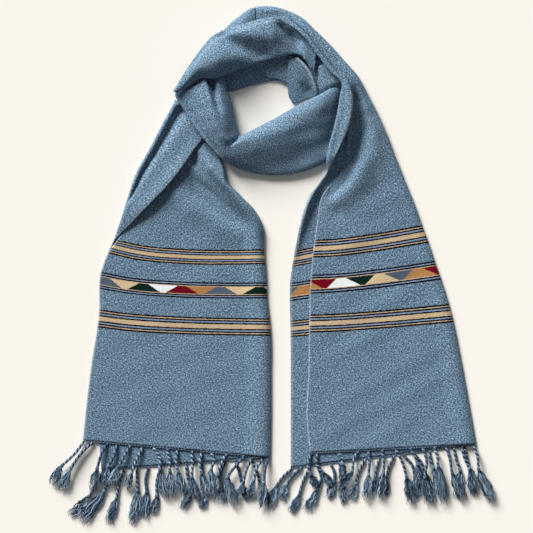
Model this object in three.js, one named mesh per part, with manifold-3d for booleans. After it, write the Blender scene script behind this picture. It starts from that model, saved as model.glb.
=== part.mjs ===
// A wool muffler, laid flat on a table the way a shop shows one: folded in half lengthwise,
// wound once and a half round an open neck hole, with both fringed ends hanging side by side.
//
// Millimetres. +Z is up, and the cloth lies on z = 0. +Y points from the fringes to the nape of
// the loop and +X to the right of someone looking down. The origin is under the middle of the whole.
//
// The path of the cloth: the left tail lies lowest. It runs up under the throat band and turns
// right as the inner turn, which comes down behind the right tail, crosses to the left as the
// throat band, folds over at the upper left corner, and goes right again as the nape roll. That
// passes over everything and comes down as the right tail.
import * as THREE from "three";
import Module from "manifold-3d";

const wasm = await Module();
wasm.setup();

// The cloth, cut 560 mm wide and 2030 mm long, and folded in half lengthwise.
const CLOTH = 1.6; // thickness of the fulled wool
const HALF_CLOTH = CLOTH / 2;
const FLOOR_LAYER = HALF_CLOTH; // height of the middle of a layer that lies on the table
const NEXT_LAYER = 2.9; // the least height of the middle of a layer that lies on that one
const SEAM = 0.35; // space left between two solids that touch on the real thing

// The fringe: warp ends twisted into cords, each with a knot and a frayed tuft.
const CORD_RADIUS = 1.75;
const KNOT_RADIUS = 2.7;
const TUFT_RADIUS = 3.5;
const TUFT_TIP_RADIUS = 1.3;
const HEADING_WIDTH = 3; // the narrow strip that carries the roots of a fringe
const HEADING_DEPTH = 1.5;

// The middle of the drawing's bounding box, so that the origin is under the middle of the whole.
const MIDDLE = { x: -0.5, y: 0.6 };

const WOOL = new THREE.MeshStandardMaterial({ color: "#6f8aa5", roughness: 0.95, metalness: 0 });
const FRINGE_WOOL = new THREE.MeshStandardMaterial({ color: "#4f6f8e", roughness: 1, metalness: 0 });

// A table is a line of column names and one line of numbers for each section or fold.
function table(columns, rows) {
  const names = columns.trim().split(/\s+/);
  return rows.map((row) => Object.fromEntries(names.map((name, i) => [name, row[i]])));
}

const mix = (a, b, t) => a + (b - a) * t;
const mixPoint = (a, b, t) => [mix(a[0], b[0], t), mix(a[1], b[1], t), mix(a[2], b[2], t)];
const smooth = (t) => {
  const s = Math.min(1, Math.max(0, t));
  return s * s * (3 - 2 * s);
};

// A smooth curve through points at uneven stations. Its slope at a station is the one of the
// parabola through that station and its two neighbours.
function curveThrough(stations, points) {
  const last = stations.length - 1;
  const slope = (i, k) => {
    const before = Math.max(0, i - 1);
    const after = Math.min(last, i + 1);
    if (before === i || after === i) {
      return (points[after][k] - points[before][k]) / (stations[after] - stations[before]);
    }
    const h0 = stations[i] - stations[before];
    const h1 = stations[after] - stations[i];
    const d0 = (points[i][k] - points[before][k]) / h0;
    const d1 = (points[after][k] - points[i][k]) / h1;
    return (d0 * h1 + d1 * h0) / (h0 + h1);
  };
  return (at) => {
    let i = 0;
    while (i < last - 1 && at > stations[i + 1]) i++;
    const h = stations[i + 1] - stations[i];
    const t = (at - stations[i]) / h;
    const t2 = t * t;
    const t3 = t2 * t;
    return points[i].map((p, k) => (2 * t3 - 3 * t2 + 1) * p + (t3 - 2 * t2 + t) * h * slope(i, k)
      + (3 * t2 - 2 * t3) * points[i + 1][k] + (t3 - t2) * h * slope(i + 1, k));
  };
}

// One section across the cloth, through its knots, with a given number of steps between knots.
function section(knots, steps) {
  const stations = [0];
  for (let i = 1; i < knots.length; i++) {
    stations.push(stations[i - 1] + Math.max(0.2, Math.hypot(...knots[i].map((v, k) => v - knots[i - 1][k]))));
  }
  const curve = curveThrough(stations, knots);
  const made = [];
  for (let i = 0; i < steps.length; i++) {
    for (let s = 0; s < steps[i]; s++) made.push(curve(mix(stations[i], stations[i + 1], s / steps[i])));
  }
  made.push(knots[knots.length - 1]);
  return made;
}

// A grid of points over a stretch of cloth: a section for each row of its table, joined along
// the cloth by smooth curves, with a given number of steps after each row.
function clothGrid(rows, knotsOf, steps, rowStepsOf) {
  const along = rows.map((row) => row.along);
  const sections = rows.map((row) => section(knotsOf(row), steps));
  const columns = sections[0].map((_, j) => curveThrough(along, sections.map((s) => s[j])));
  const grid = [];
  for (let i = 0; i < rows.length - 1; i++) {
    const rowSteps = rowStepsOf(rows[i]);
    for (let s = 0; s < rowSteps; s++) {
      const at = mix(along[i], along[i + 1], s / rowSteps);
      grid.push(columns.map((column) => column(at)));
    }
  }
  grid.push(sections[sections.length - 1]);
  return grid;
}

// Soft troughs and ridges, pressed straight down or raised, that fade out at their ends.
function pressFolds(grid, folds, weightOf, floorOf) {
  grid.forEach((row, i) => row.forEach((p, j) => {
    const weight = weightOf(j, i);
    p[2] = Math.max(p[2], floorOf(j, i));
    if (weight === 0) return;
    for (const f of folds) {
      const dx = f.toX - f.fromX;
      const dy = f.toY - f.fromY;
      const t = Math.min(1, Math.max(0, ((p[0] - f.fromX) * dx + (p[1] - f.fromY) * dy) / (dx * dx + dy * dy)));
      const away = Math.hypot(p[0] - f.fromX - t * dx, p[1] - f.fromY - t * dy) / f.width;
      const ends = (f.fadeIn ? smooth(t / f.fadeIn) : 1) * (f.fadeOut ? smooth((1 - t) / f.fadeOut) : 1);
      p[2] += weight * f.lift * ends * Math.exp(-away * away);
    }
    p[2] = Math.max(p[2], floorOf(j, i));
  }));
  return grid;
}

// Normals of a grid of points, from its neighbours along and across.
function normals(grid) {
  const last = grid.length - 1;
  const edge = grid[0].length - 1;
  return grid.map((row, i) => row.map((_, j) => {
    const a = new THREE.Vector3(...grid[Math.min(last, i + 1)][j]).sub(new THREE.Vector3(...grid[Math.max(0, i - 1)][j]));
    const b = new THREE.Vector3(...row[Math.min(edge, j + 1)]).sub(new THREE.Vector3(...row[Math.max(0, j - 1)]));
    return b.cross(a).normalize();
  }));
}

function geometryOf(points, faces) {
  const geometry = new THREE.BufferGeometry();
  geometry.setAttribute("position", new THREE.Float32BufferAttribute(points.flat(), 3));
  geometry.setIndex(faces.flat());
  geometry.computeVertexNormals();
  return geometry;
}

// A closed wall of cloth round a grid of points in its middle.
function wallGeometry(grid, thickness = CLOTH) {
  const rows = grid.length;
  const cols = grid[0].length;
  const normal = normals(grid);
  const skin = (side) => grid.map((row, i) => row.map((p, j) => {
    const n = normal[i][j];
    const h = side * thickness / 2;
    return [p[0] + n.x * h, p[1] + n.y * h, Math.max(0, p[2] + n.z * h)];
  })).flat();
  const points = [...skin(1), ...skin(-1)];
  const under = rows * cols;
  const faces = [];
  const quad = (a, b, c, d) => faces.push([a, b, c], [a, c, d]);
  for (let i = 0; i < rows - 1; i++) {
    for (let j = 0; j < cols - 1; j++) {
      const a = i * cols + j;
      quad(a, a + 1, a + 1 + cols, a + cols);
      quad(under + a, under + a + cols, under + a + 1 + cols, under + a + 1);
    }
    const left = i * cols;
    const right = left + cols - 1;
    quad(left, left + cols, under + left + cols, under + left);
    quad(right, under + right, under + right + cols, right + cols);
  }
  for (let j = 0; j < cols - 1; j++) {
    const end = (rows - 1) * cols + j;
    quad(j, under + j, under + j + 1, j + 1);
    quad(end, end + 1, under + end + 1, under + end);
  }
  return geometryOf(points, faces);
}

// A closed rounded solid through rings of points, for a stretch whose hidden layers are one body.
function roundedGeometry(rings) {
  const cols = rings[0].length;
  const points = rings.flat();
  const faces = [];
  for (let i = 0; i < rings.length - 1; i++) {
    for (let j = 0; j < cols; j++) {
      const a = i * cols + j;
      const b = i * cols + ((j + 1) % cols);
      faces.push([a, b + cols, b], [a, a + cols, b + cols]);
    }
  }
  for (const [ring, turn] of [[0, 1], [rings.length - 1, 0]]) {
    const centre = points.length;
    points.push([0, 1, 2].map((k) => rings[ring].reduce((sum, p) => sum + p[k], 0) / cols));
    for (let j = 0; j < cols; j++) {
      const a = ring * cols + j;
      const b = ring * cols + ((j + 1) % cols);
      faces.push(turn ? [a, b, centre] : [b, a, centre]);
    }
  }
  return geometryOf(points, faces);
}

// A tail: the front layer from its selvedge to the lengthwise fold, round the fold, and back as
// the layer on the table. Higher up, the back layer's margin is turned over onto the front as a lapel.
const TAIL_COLUMNS = `along frontX frontY frontZ sag midZ foldX foldY foldZ backX backY backZ
  turned lapelX lapelY lapelZ`;
const TAIL_STEPS = [2, 3, 3, 2, 2, 2, 1, 1, 1, 1, 1, 1, 2, 2];
const TAIL_FRONT_COLUMNS = 10; // the columns of the grid that are the front layer
const TAIL_LAPEL_COLUMN = 18; // and the first one of the lapel
const FLAT_MARGIN = 7; // width of the margin that becomes the lapel, where it still lies flat

function tailKnots(row) {
  const front = [row.frontX, row.frontY, row.frontZ];
  const fold = [row.foldX, row.foldY, row.foldZ];
  const back = [row.backX, row.backY, row.backZ];
  const lapel = [row.lapelX, row.lapelY, row.lapelZ];
  const width = Math.hypot(fold[0] - front[0], fold[1] - front[1]);
  const radius = (row.foldZ - FLOOR_LAYER) / 2;
  const across = (t, z, sag) => {
    const p = mixPoint(front, fold, t);
    return [p[0], p[1] + row.sag * sag, z];
  };
  const inset = 1 - radius / width;
  const bottom = [fold[0], fold[1], FLOOR_LAYER];
  const backWidth = Math.hypot(fold[0] - back[0], fold[1] - back[1]);
  const fromBack = (distance, z) => {
    const p = mixPoint(back, bottom, distance / backWidth);
    return [p[0], p[1], z ?? p[2]];
  };
  const turn = (row.lapelZ - row.backZ) / 2;
  const lapelWidth = Math.max(1, Math.hypot(lapel[0] - back[0], lapel[1] - back[1]));
  const overLapel = (t, z) => {
    const p = mixPoint(back, lapel, t);
    return [p[0], p[1], z];
  };
  const flat = [1, 0.8, 0.6, 0.4, 0.2, 0].map((t) => fromBack(FLAT_MARGIN * t));
  const over = Math.min(0.45, turn / lapelWidth);
  const turned = [
    fromBack(turn),
    fromBack(0.25 * turn, mix(row.backZ, row.lapelZ, 0.2)),
    [back[0], back[1], mix(row.backZ, row.lapelZ, 0.5)],
    overLapel(0.3 * over, mix(row.backZ, row.lapelZ, 0.85)),
    overLapel(mix(over, 1, 0.25), row.lapelZ),
    lapel,
  ];
  return [
    across(0, row.frontZ, 0),
    across(0.15, mix(row.frontZ, row.midZ, 0.6), 0.75),
    across(0.5, row.midZ, 1),
    across(0.85, mix(row.midZ, row.foldZ, 0.7), 0.35),
    across(inset, row.foldZ, 0),
    [fold[0], fold[1], mix(FLOOR_LAYER, row.foldZ, 0.5)],
    across(inset, FLOOR_LAYER, 0),
    mixPoint(bottom, back, 0.35),
    mixPoint(bottom, back, 0.7),
    ...flat.map((p, i) => mixPoint(p, turned[i], row.turned)),
  ];
}

// Where a section of a tail keeps clear of the layer that lies below it.
const tailFloor = (j) => (j < TAIL_FRONT_COLUMNS ? NEXT_LAYER : 0);

const LEFT_TAIL = table(TAIL_COLUMNS, [
  [0, -285.5, -262, 3.2, 0, 3.2, -5, -287.5, 3.4, -258, -306, 0.8, 0, 0, 0, 0.8],
  [60, -280, -207, 3.2, -2, 3.3, -4, -226, 3.6, -262, -245, 0.8, 0, 0, 0, 0.8],
  [120, -273, -150, 3.3, -3, 3.5, -4, -166, 4, -260, -185, 0.8, 0, 0, 0, 0.8],
  [180, -264, -93, 3.4, -4, 3.6, -4.3, -106, 4.4, -257, -115, 0.8, 0, 0, 0, 0.8],
  [207.5, -261, -66, 3.4, -4, 3.8, -6.5, -79.6, 4.8, -256, -82, 0.8, 0, 0, 0, 0.8],
  [238, -261, -35, 3.6, -6, 3.8, -10, -50, 5, -256, -45, 0.8, 0, 0, 0, 0.8],
  [267, -258.5, -9.6, 4, -6.5, 3.8, -10.7, -26, 5.4, -255, -14, 0.8, 0, 0, 0, 0.8],
  [292.5, -248, 18, 4.4, -8, 3.8, -12.8, 1.3, 6, -249, 16, 0.8, 0, 0, 0, 0.8],
  [320, -234, 38, 4.4, -6.5, 3.8, -14.3, 23.6, 6.6, -239, 41, 0.8, 0.6, -234, 40, 7],
  [345, -220, 59, 4.2, -5, 4, -15, 53, 7.4, -228.5, 67, 0.8, 1, -212, 65, 8.4],
  [375, -201, 88, 4, -3, 4.6, -26, 79, 8, -218.5, 99, 0.8, 1, -188, 89.5, 10],
  [410, -182, 118, 4, 0, 6.4, -50, 105, 8.6, -205.5, 137, 0.8, 1, -164.5, 113, 11],
  [440, -165, 145, 4, 2, 8.4, -68, 124, 9, -192.5, 161, 0.8, 1, -144, 137, 11.6],
  [465, -150, 166, 4, 3, 8.6, -72.5, 143, 8.6, -179, 186, 0.8, 1, -129, 158, 11.8],
  [490, -138, 187, 4, 3, 7.6, -80, 163, 7.6, -165, 213, 0.8, 1, -116, 177, 11.6],
  [520, -126, 210, 4, 2, 6.2, -94, 188, 6.2, -150.5, 239.5, 0.8, 1, -98, 199, 10.2],
  [545, -114, 232, 4, 2, 5.4, -80, 210, 5.4, -146.5, 248.5, 0.8, 1, -84, 219, 8.8],
]);

const FOLD_COLUMNS = "fromX fromY toX toY width lift fadeIn fadeOut";
const LEFT_TAIL_FOLDS = table(FOLD_COLUMNS, [
  [-124, 134, -34, 56, 11, -6, 0.35, 0.4], // the long trough below the lobe
  [-62, 128, -20, 40, 9, 4, 0.3, 0.4], // the raised lengthwise fold beside it
  [-136, 146, -232, 42, 15, -3, 0.2, 0.3], // the hollow below the lapel's edge
  [-121, 166, -119, 158, 6, -6, 0, 0], // the dimple where the lobe leaves the lapel
  [-104, 172, -98, 156, 13, 4, 0, 0], // the lobe itself
]);
const LEFT_LAPEL_FOLDS = table(FOLD_COLUMNS, [
  [-219, 92, -188, 160, 4.5, -5, 0.5, 0], // the gutter inside the rolled edge
  [-188, 160, -150, 228, 8, -6.5, 0, 0],
]);

const RIGHT_TAIL = table(TAIL_COLUMNS, [
  [0, 54.7, -281, 3.2, 0, 3.2, 303.4, -268, 3.4, 26, -303.4, 0.8, 0, 0, 0, 0.8],
  [60, 49.5, -222, 3.2, -1, 3.3, 292.5, -207, 3.6, 26, -240, 0.8, 0, 0, 0, 0.8],
  [120, 52.5, -162, 3.3, -1, 3.5, 281.5, -147, 4, 26, -176, 0.8, 0, 0, 0, 0.8],
  [180, 53.4, -101, 3.4, -1.7, 3.8, 269.3, -85.6, 4.4, 25.8, -112, 0.8, 0, 0, 0, 0.8],
  [207.5, 54.3, -73.6, 3.4, -2, 4, 262.3, -57.9, 4.6, 25.3, -85, 0.8, 0, 0, 0, 0.8],
  [238, 54.3, -42.8, 3.4, -2.5, 4.2, 251, -21.7, 4.8, 24.5, -56, 0.8, 0, 0, 0, 0.8],
  [267, 56.5, -13.7, 3.6, -3, 4.4, 241, 6.4, 5, 25, -28.8, 0.8, 0, 0, 0, 0.8],
  [292.5, 58.5, 11.4, 3.8, -3, 4.6, 232, 33.5, 5.2, 28, -2.5, 0.8, 0, 0, 0, 0.8],
  [320, 62, 38.6, 4, -3, 5, 222, 60.2, 5.4, 32.5, 23.5, 0.8, 0, 0, 0, 0.8],
  [350, 66, 68, 4.4, -3, 6, 210, 94, 5.8, 39, 55, 0.8, 0, 0, 0, 0.8],
  [380, 71, 99, 5, -3, 7.4, 196, 128, 6.4, 48, 88, 0.8, 0, 0, 0, 0.8],
  [400, 79, 113, 5.4, -2, 9, 187.5, 150, 7, 57, 108, 1.2, 0, 0, 0, 1.2],
  [420, 93, 129, 7, -2, 11, 180, 168, 7.6, 69.5, 124, 2.4, 0.1, 75, 128, 5],
  [440, 102, 147, 9, -2, 13, 172, 190, 8.4, 80.5, 139, 4.4, 0.7, 84, 145, 10],
  [458, 107, 164, 11.5, -2, 14.6, 167, 202, 9, 80, 157, 9, 1, 92, 162, 17],
  [480, 110, 183, 14.5, -2, 16, 161, 218, 9.6, 83.5, 178, 14, 1, 101, 180, 21.5],
  [505, 112, 206, 17, -2, 17, 152, 236, 10.4, 90, 202, 17, 1, 110.5, 201, 24.5],
  [533, 111, 232, 19.2, 0, 17.6, 141, 256, 11, 96.5, 230, 18.6, 1, 117, 226, 26],
  [556, 109, 253, 21, 0, 18, 133, 272, 11, 100, 253, 18.8, 1, 118.5, 250, 26],
  [574, 107, 272, 21.6, 0, 18.4, 126, 284, 11, 103, 271.5, 18.8, 1, 113, 273, 25.6],
  [600, 92, 293, 21, 0, 18, 110, 302, 10.6, 86, 289, 18, 1, 98, 296, 24.8],
  [634, 71, 320, 20, 0, 17, 86, 329, 10, 65.5, 316.5, 17, 1, 77, 323.5, 23.8],
  [670, 50, 350.5, 18, 0, 15.4, 58, 356.5, 9, 46, 348, 15, 1, 52.5, 352.5, 21.4],
  [686, 38, 364, 14.6, 0, 13, 43.5, 370, 8.4, 35.5, 361, 11.6, 1, 40, 365.5, 17.6],
  [699, 26, 370.5, 11, 0, 10.6, 28, 378.5, 8, 25, 367, 8, 1, 26.5, 372, 13.6],
  [719, 5, 364, 7.6, 0, 8.6, 4, 386.5, 7.4, 5, 359.5, 4.4, 1, 4.5, 371, 10.4],
  [748, -24.5, 359, 7, 0, 8, -26.5, 387.5, 7, -24, 353, 4, 1, -25, 368, 10],
]);
const RIGHT_TAIL_FOLDS = table(FOLD_COLUMNS, [
  [124, 244, 129, 203, 8, -5, 0.5, 0], // the dark valley beside the lapel
  [129, 203, 114, 158, 9, -7, 0, 0],
  [114, 158, 92, 122, 8, -5, 0, 0.5],
  [72, 92, 122, 66, 16, -2, 0.3, 0.5], // a shallow trough below it
  [88, 118, 150, 160, 12, 2.5, 0.3, 0.5], // and the swell between the two
]);
const NO_FOLDS = [];

// A band of gathered cloth: rounded, and seen from above. Its inner edge faces the neck hole,
// its ridge is the highest line, and its outer edge shows two folded layers, one on the other.
const BAND_COLUMNS = `along innerX innerY innerZ innerLowZ ridgeX ridgeY ridgeZ
  outerX outerY outerTopZ outerLowZ underZ`;
const BAND_STEPS = [2, 2, 2, 3, 3, 3, 2, 1, 1, 1, 2];
const BAND_TOP_COLUMNS = [2, 18];
const LIP = 1.8; // how far the lower folded layer stands out beyond the crevice

function bandKnots(row) {
  const inner = [row.innerX, row.innerY, row.innerZ];
  const ridge = [row.ridgeX, row.ridgeY, row.ridgeZ];
  const outer = [row.outerX, row.outerY, row.outerTopZ];
  const low = [row.outerX, row.outerY, row.outerLowZ];
  const width = Math.hypot(ridge[0] - outer[0], ridge[1] - outer[1]);
  const step = (distance, z) => {
    const p = mixPoint(outer, ridge, distance / width);
    return [p[0], p[1], z];
  };
  const middle = (row.outerTopZ + row.outerLowZ) / 2;
  const deep = row.outerTopZ - row.outerLowZ;
  return [
    [...mixPoint(inner, outer, 0.07).slice(0, 2), row.innerLowZ],
    inner,
    [...mixPoint(inner, ridge, 0.4).slice(0, 2), mix(row.innerZ, row.ridgeZ, 0.66)],
    ridge,
    step(width * 0.68, mix(row.outerTopZ, row.ridgeZ, 0.93)),
    step(width * 0.34, mix(row.outerTopZ, row.ridgeZ, 0.62)),
    step(deep * 0.35, mix(row.outerTopZ, row.ridgeZ, 0.06)),
    step(0, mix(middle, row.outerTopZ, 0.55)),
    step(LIP, middle),
    step(0, mix(middle, row.outerLowZ, 0.5)),
    step(deep * 0.3, row.outerLowZ),
    [...mixPoint(inner, outer, 0.5).slice(0, 2), row.underZ],
  ];
}
const bandWeight = (j) => {
  const [first, last] = BAND_TOP_COLUMNS;
  return smooth((j - first + 1) / 2) * smooth((last + 1 - j) / 2);
};

// The throat band, from its end under the right tail to its end under the nape roll.
const THROAT = table(BAND_COLUMNS, [
  [0, 104, 273, 8, 2, 103, 262, 12, 84, 158, 5, 1, 0],
  [20, 91, 268, 9, 1, 90, 257, 14, 72, 151, 7, 0, 0],
  [45, 73, 258, 11, 0.4, 72, 247, 20, 58, 145, 9, 0, 0],
  [85, 38, 241, 12, 0, 37, 228, 24, 38, 139, 9, 0, 0],
  [125, 2.5, 220.5, 13, 0, 1, 208, 26, 12, 135.5, 9, 0, 0],
  [155, -27.5, 205, 13, 0, -29, 194, 27, -14, 136, 9, 0, 0],
  [180, -49, 194.5, 12, 0, -50, 187, 27.5, -38, 140, 10, 1, 0],
  [197, -51.5, 197, 8, 0, -62, 182, 28, -57, 147, 14, 6, 2],
  [212, -55, 208, 6, 0, -68, 192, 29.5, -75, 158, 20, 12, 7],
  [235, -59, 226, 6, 0, -72.5, 209, 31, -92, 175, 22.5, 14.5, 10],
  [258, -63, 245, 6, 0.5, -78, 227, 31.5, -108, 194, 23.5, 15, 11.5],
  [276, -68, 260, 8, 3, -84, 243, 30, -121, 212, 22.5, 15, 12],
  [290, -71, 272, 11, 7, -90, 254, 28, -131, 228, 21, 14.5, 12],
  [304, -74, 282, 13, 9, -98, 266, 26.4, -140, 242, 20.8, 14, 12],
  [320, -82, 290, 13, 9, -108, 278, 23.1, -147, 255, 20.3, 13.5, 11.5],
  [334, -92, 298, 12, 9, -116, 289, 19.1, -143, 270, 17.5, 12, 10],
]);
const THROAT_FOLDS = table(FOLD_COLUMNS, [
  [-108, 280, -88, 250, 5.5, -9, 0, 0.5], // the slit at the upper corner
  [-61, 183, -51, 193, 5, -4, 0.3, 0.3], // the notch where the band turns
  [-96, 262, -70, 190, 7, 1.5, 0.3, 0.3], // the bright ridge beside it
  [70, 190, -30, 158, 20, -2, 0.4, 0.4], // the slack belly
]);

// The nape roll, from the corner where the cloth folds over to its end under the right tail.
const NAPE = table(BAND_COLUMNS, [
  [0, -144, 258, 23.5, 22, -147.5, 259.5, 26, -150, 261, 25, 21, 21.5],
  [14, -135, 263, 25, 22, -138, 266.5, 30, -143.5, 271, 27, 20, 21.5],
  [32, -123, 270, 27.5, 24, -127, 278, 34, -134.5, 286, 27, 18.5, 22],
  [56, -108, 280, 29.5, 26.5, -112, 294, 37, -122, 305.5, 24, 13, 21],
  [80, -92, 279, 29, 26, -96, 300, 38, -110, 322, 22, 10, 19],
  [104, -74, 284, 26, 21, -80, 310, 38, -95, 340, 21, 9, 16],
  [128, -55, 292, 22, 14.5, -61, 322, 37, -78, 351, 23, 13, 14],
  [155, -35, 298, 19, 12.5, -42, 334, 35, -52, 359, 26, 14, 13.5],
  [184, -11, 306.5, 19, 13.5, -17, 346, 33, -21, 368, 26, 14, 13.5],
  [206, 8.5, 311, 19, 14, 5, 354, 29, 5.5, 371, 23.5, 14, 14],
  [222, 23.5, 315, 18.5, 14.5, 20, 352, 24, 20, 362.5, 19, 11, 13.5],
  [238, 36, 316.5, 17.5, 14.5, 32, 347, 17.5, 33, 356.5, 13, 7, 11],
  [256, 46, 311, 15, 12.5, 42, 340, 14.4, 46, 349.5, 11.5, 7, 10],
  [276, 54, 301, 13, 11.5, 52, 327, 14, 57.6, 334.9, 11.5, 7, 9.5],
  [296, 60, 290, 12, 10.8, 62, 309, 13.4, 66.6, 317.4, 11.5, 8, 9.5],
]);
const NAPE_FOLDS = table(FOLD_COLUMNS, [
  [-82, 345, -50, 328, 13, -5, 0.5, 0], // the soft trough across the roll
  [-50, 328, -14, 317, 14, -6, 0, 0.5],
  [4, 362, 20, 350, 9, -4, 0.5, 0], // the deep hollow at its right end
]);

// A plain layer of cloth with two edges, and a crown between them.
const LAYER_COLUMNS = "along innerX innerY innerZ outerX outerY outerZ crown";
const LAYER_STEPS = [2, 3, 3, 2];
function layerKnots(row) {
  const inner = [row.innerX, row.innerY, row.innerZ];
  const outer = [row.outerX, row.outerY, row.outerZ];
  return [[0, 0], [0.18, 0.62], [0.5, 1], [0.82, 0.62], [1, 0]].map(([t, share]) => {
    const p = mixPoint(inner, outer, t);
    return [p[0], p[1], p[2] + row.crown * share];
  });
}

// The lower and upper layers of the inner turn, behind the neck hole, and the fold that comes
// forward at its right.
const INNER_LOWER = table(LAYER_COLUMNS, [
  [0, -76, 268, 0.8, -88, 296, 3, 2],
  [14, -65, 260.8, 0.8, -68, 302, 4, 3],
  [30, -50, 264.5, 0.8, -50, 309, 5, 3],
  [46, -35, 269, 0.8, -35, 320, 5, 3],
  [60, -23, 272, 0.8, -23, 330, 5, 3],
  [84, 2.5, 277, 0.8, 6, 346, 4.4, 2],
  [106, 26, 274, 0.8, 35, 349, 5.4, 2],
  [124, 42, 268, 0.8, 58, 318, 3.6, 1.5],
  [134, 50, 265, 0.8, 64, 290, 4, 1],
]);
const INNER_UPPER = table(LAYER_COLUMNS, [
  [0, -6, 279.5, 4.5, -28, 300, 8.6, 0.6],
  [10, 3, 280, 4.6, -12, 312, 9.6, 0.8],
  [24, 14, 276, 4.6, 6, 318, 9.8, 0.8],
  [38, 26, 270, 4.4, 30, 312, 9.2, 0.6],
]);
const INNER_FOLD = table(LAYER_COLUMNS, [
  [0, 24, 309, 11.7, 37, 311, 12.3, 0],
  [12, 22, 299, 10.3, 47, 301, 12.9, 1],
  [26, 21.7, 287, 8.9, 56, 288.5, 12.9, 2],
  [40, 21.7, 275, 7.9, 61.5, 276.5, 12.9, 2.5],
  [54, 22, 262, 7.2, 65, 265, 12.2, 2.5],
  [66, 24, 251.5, 6.4, 66, 258.5, 10.8, 2],
  [74, 30, 242, 5.6, 62.4, 254.6, 8.6, 1.4],
]);

// Its last stretch, which slopes down from under the right tail into the neck hole.
const INNER_END = table(LAYER_COLUMNS, [
  [0, 62, 258.2, 1.2, 101.5, 275.5, 16.4, 1],
  [12, 61.5, 268.5, 1.4, 93, 284, 16, 1.6],
  [25, 64.4, 284, 3, 84, 292.5, 15, 1.4],
  [38, 66, 297, 4, 76, 302, 13.6, 0.6],
]);

// The layer behind the nape roll, which dips into the crease at its right end.
const NAPE_BACK = table(LAYER_COLUMNS, [
  [0, -62, 330, 1.6, -80, 346, 2.6, 5],
  [22, -54, 338, 2, -66, 361.5, 2.4, 7],
  [44, -44, 345, 2, -50, 374.5, 2, 8],
  [62, -35, 350, 1.6, -37, 384, 1.6, 5],
  [74, -25.8, 351, 1, -26.9, 387.5, 1, 2],
]);

const noFloor = () => 0;
const twoSteps = () => 2;
const tailRowSteps = (row) => (row.turned > 0 ? 2 : 1); // the flat lengths need fewer

// A fringe: strands out of a narrow heading strip that runs along a hem.
const FRINGE_COLUMNS = "root bow knotX knotY tipX tipY lift";
const STRAND_SIDES = 4;
const ABOVE_TABLE = 0.3;

function strandSolid(start, row, baseZ, endZ) {
  const knot = [row.knotX, row.knotY, mix(baseZ, endZ, 0.7) + row.lift];
  const tip = [row.tipX, row.tipY, endZ + row.lift];
  const away = Math.hypot(knot[0] - start[0], knot[1] - start[1]);
  const side = [(knot[1] - start[1]) / away, -(knot[0] - start[0]) / away];
  const elbow = mixPoint(start, knot, 0.5);
  elbow[0] += side[0] * row.bow;
  elbow[1] += side[1] * row.bow;
  elbow[2] = mix(baseZ, knot[2], 0.8);
  const path = curveThrough([0, 0.5, 1, 2], [start, elbow, knot, tip]);
  const rings = [
    [0, HEADING_DEPTH * 0.4], [0.3, CORD_RADIUS], [0.7, CORD_RADIUS], [0.94, KNOT_RADIUS],
    [1.08, CORD_RADIUS * 1.1], [1.45, TUFT_RADIUS], [2, TUFT_TIP_RADIUS],
  ];
  const made = rings.map(([at, radius]) => {
    const p = path(at);
    p[2] = Math.max(p[2], radius * 0.71 + ABOVE_TABLE);
    const ahead = path(Math.min(2, at + 0.05));
    const behind = path(Math.max(0, at - 0.05));
    const dx = ahead[0] - behind[0];
    const dy = ahead[1] - behind[1];
    const long = Math.hypot(dx, dy);
    return Array.from({ length: STRAND_SIDES }, (_, k) => {
      const turn = (2 * Math.PI * (k + 0.5)) / STRAND_SIDES;
      const out = Math.cos(turn) * radius * Math.SQRT2;
      const up = Math.sin(turn) * radius;
      return [p[0] + (dy / long) * out, p[1] - (dx / long) * out, p[2] + up];
    });
  });
  return solidOf(roundedGeometry(made));
}

function solidOf(geometry) {
  const position = geometry.getAttribute("position").array;
  return new wasm.Manifold(new wasm.Mesh({
    numProp: 3,
    vertProperties: new Float32Array(position),
    triVerts: new Uint32Array(geometry.index.array),
  }));
}

function geometryOfSolid(solid) {
  const mesh = solid.getMesh();
  const geometry = new THREE.BufferGeometry();
  geometry.setAttribute("position", new THREE.Float32BufferAttribute(mesh.vertProperties, 3));
  geometry.setIndex(new THREE.BufferAttribute(mesh.triVerts, 1));
  geometry.computeVertexNormals();
  return geometry;
}

// hem: its two ends, left to right, at the middle of the layer. The heading lies just outside.
function fringeGeometry(hem, rows, endZ) {
  const [left, right] = hem;
  const long = Math.hypot(right[0] - left[0], right[1] - left[1]);
  const along = [(right[0] - left[0]) / long, (right[1] - left[1]) / long];
  const out = [along[1], -along[0]];
  const at = (share, distance, z) => [
    mix(left[0], right[0], share) + out[0] * distance,
    mix(left[1], right[1], share) + out[1] * distance,
    mix(left[2], right[2], share) + z,
  ];
  const near = SEAM;
  const far = SEAM + HEADING_WIDTH;
  const up = HEADING_DEPTH / 2;
  const ring = (share) => [at(share, near, -up), at(share, far, -up), at(share, far, up), at(share, near, up)];
  const heading = solidOf(roundedGeometry([ring(0.004), ring(0.996)]));
  const strands = rows.map((row) => strandSolid(at(row.root, far - 1.2, 0), row, mix(left[2], right[2], row.root), endZ));
  return geometryOfSolid(strands.reduce((sum, strand) => sum.add(strand), heading));
}

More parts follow.
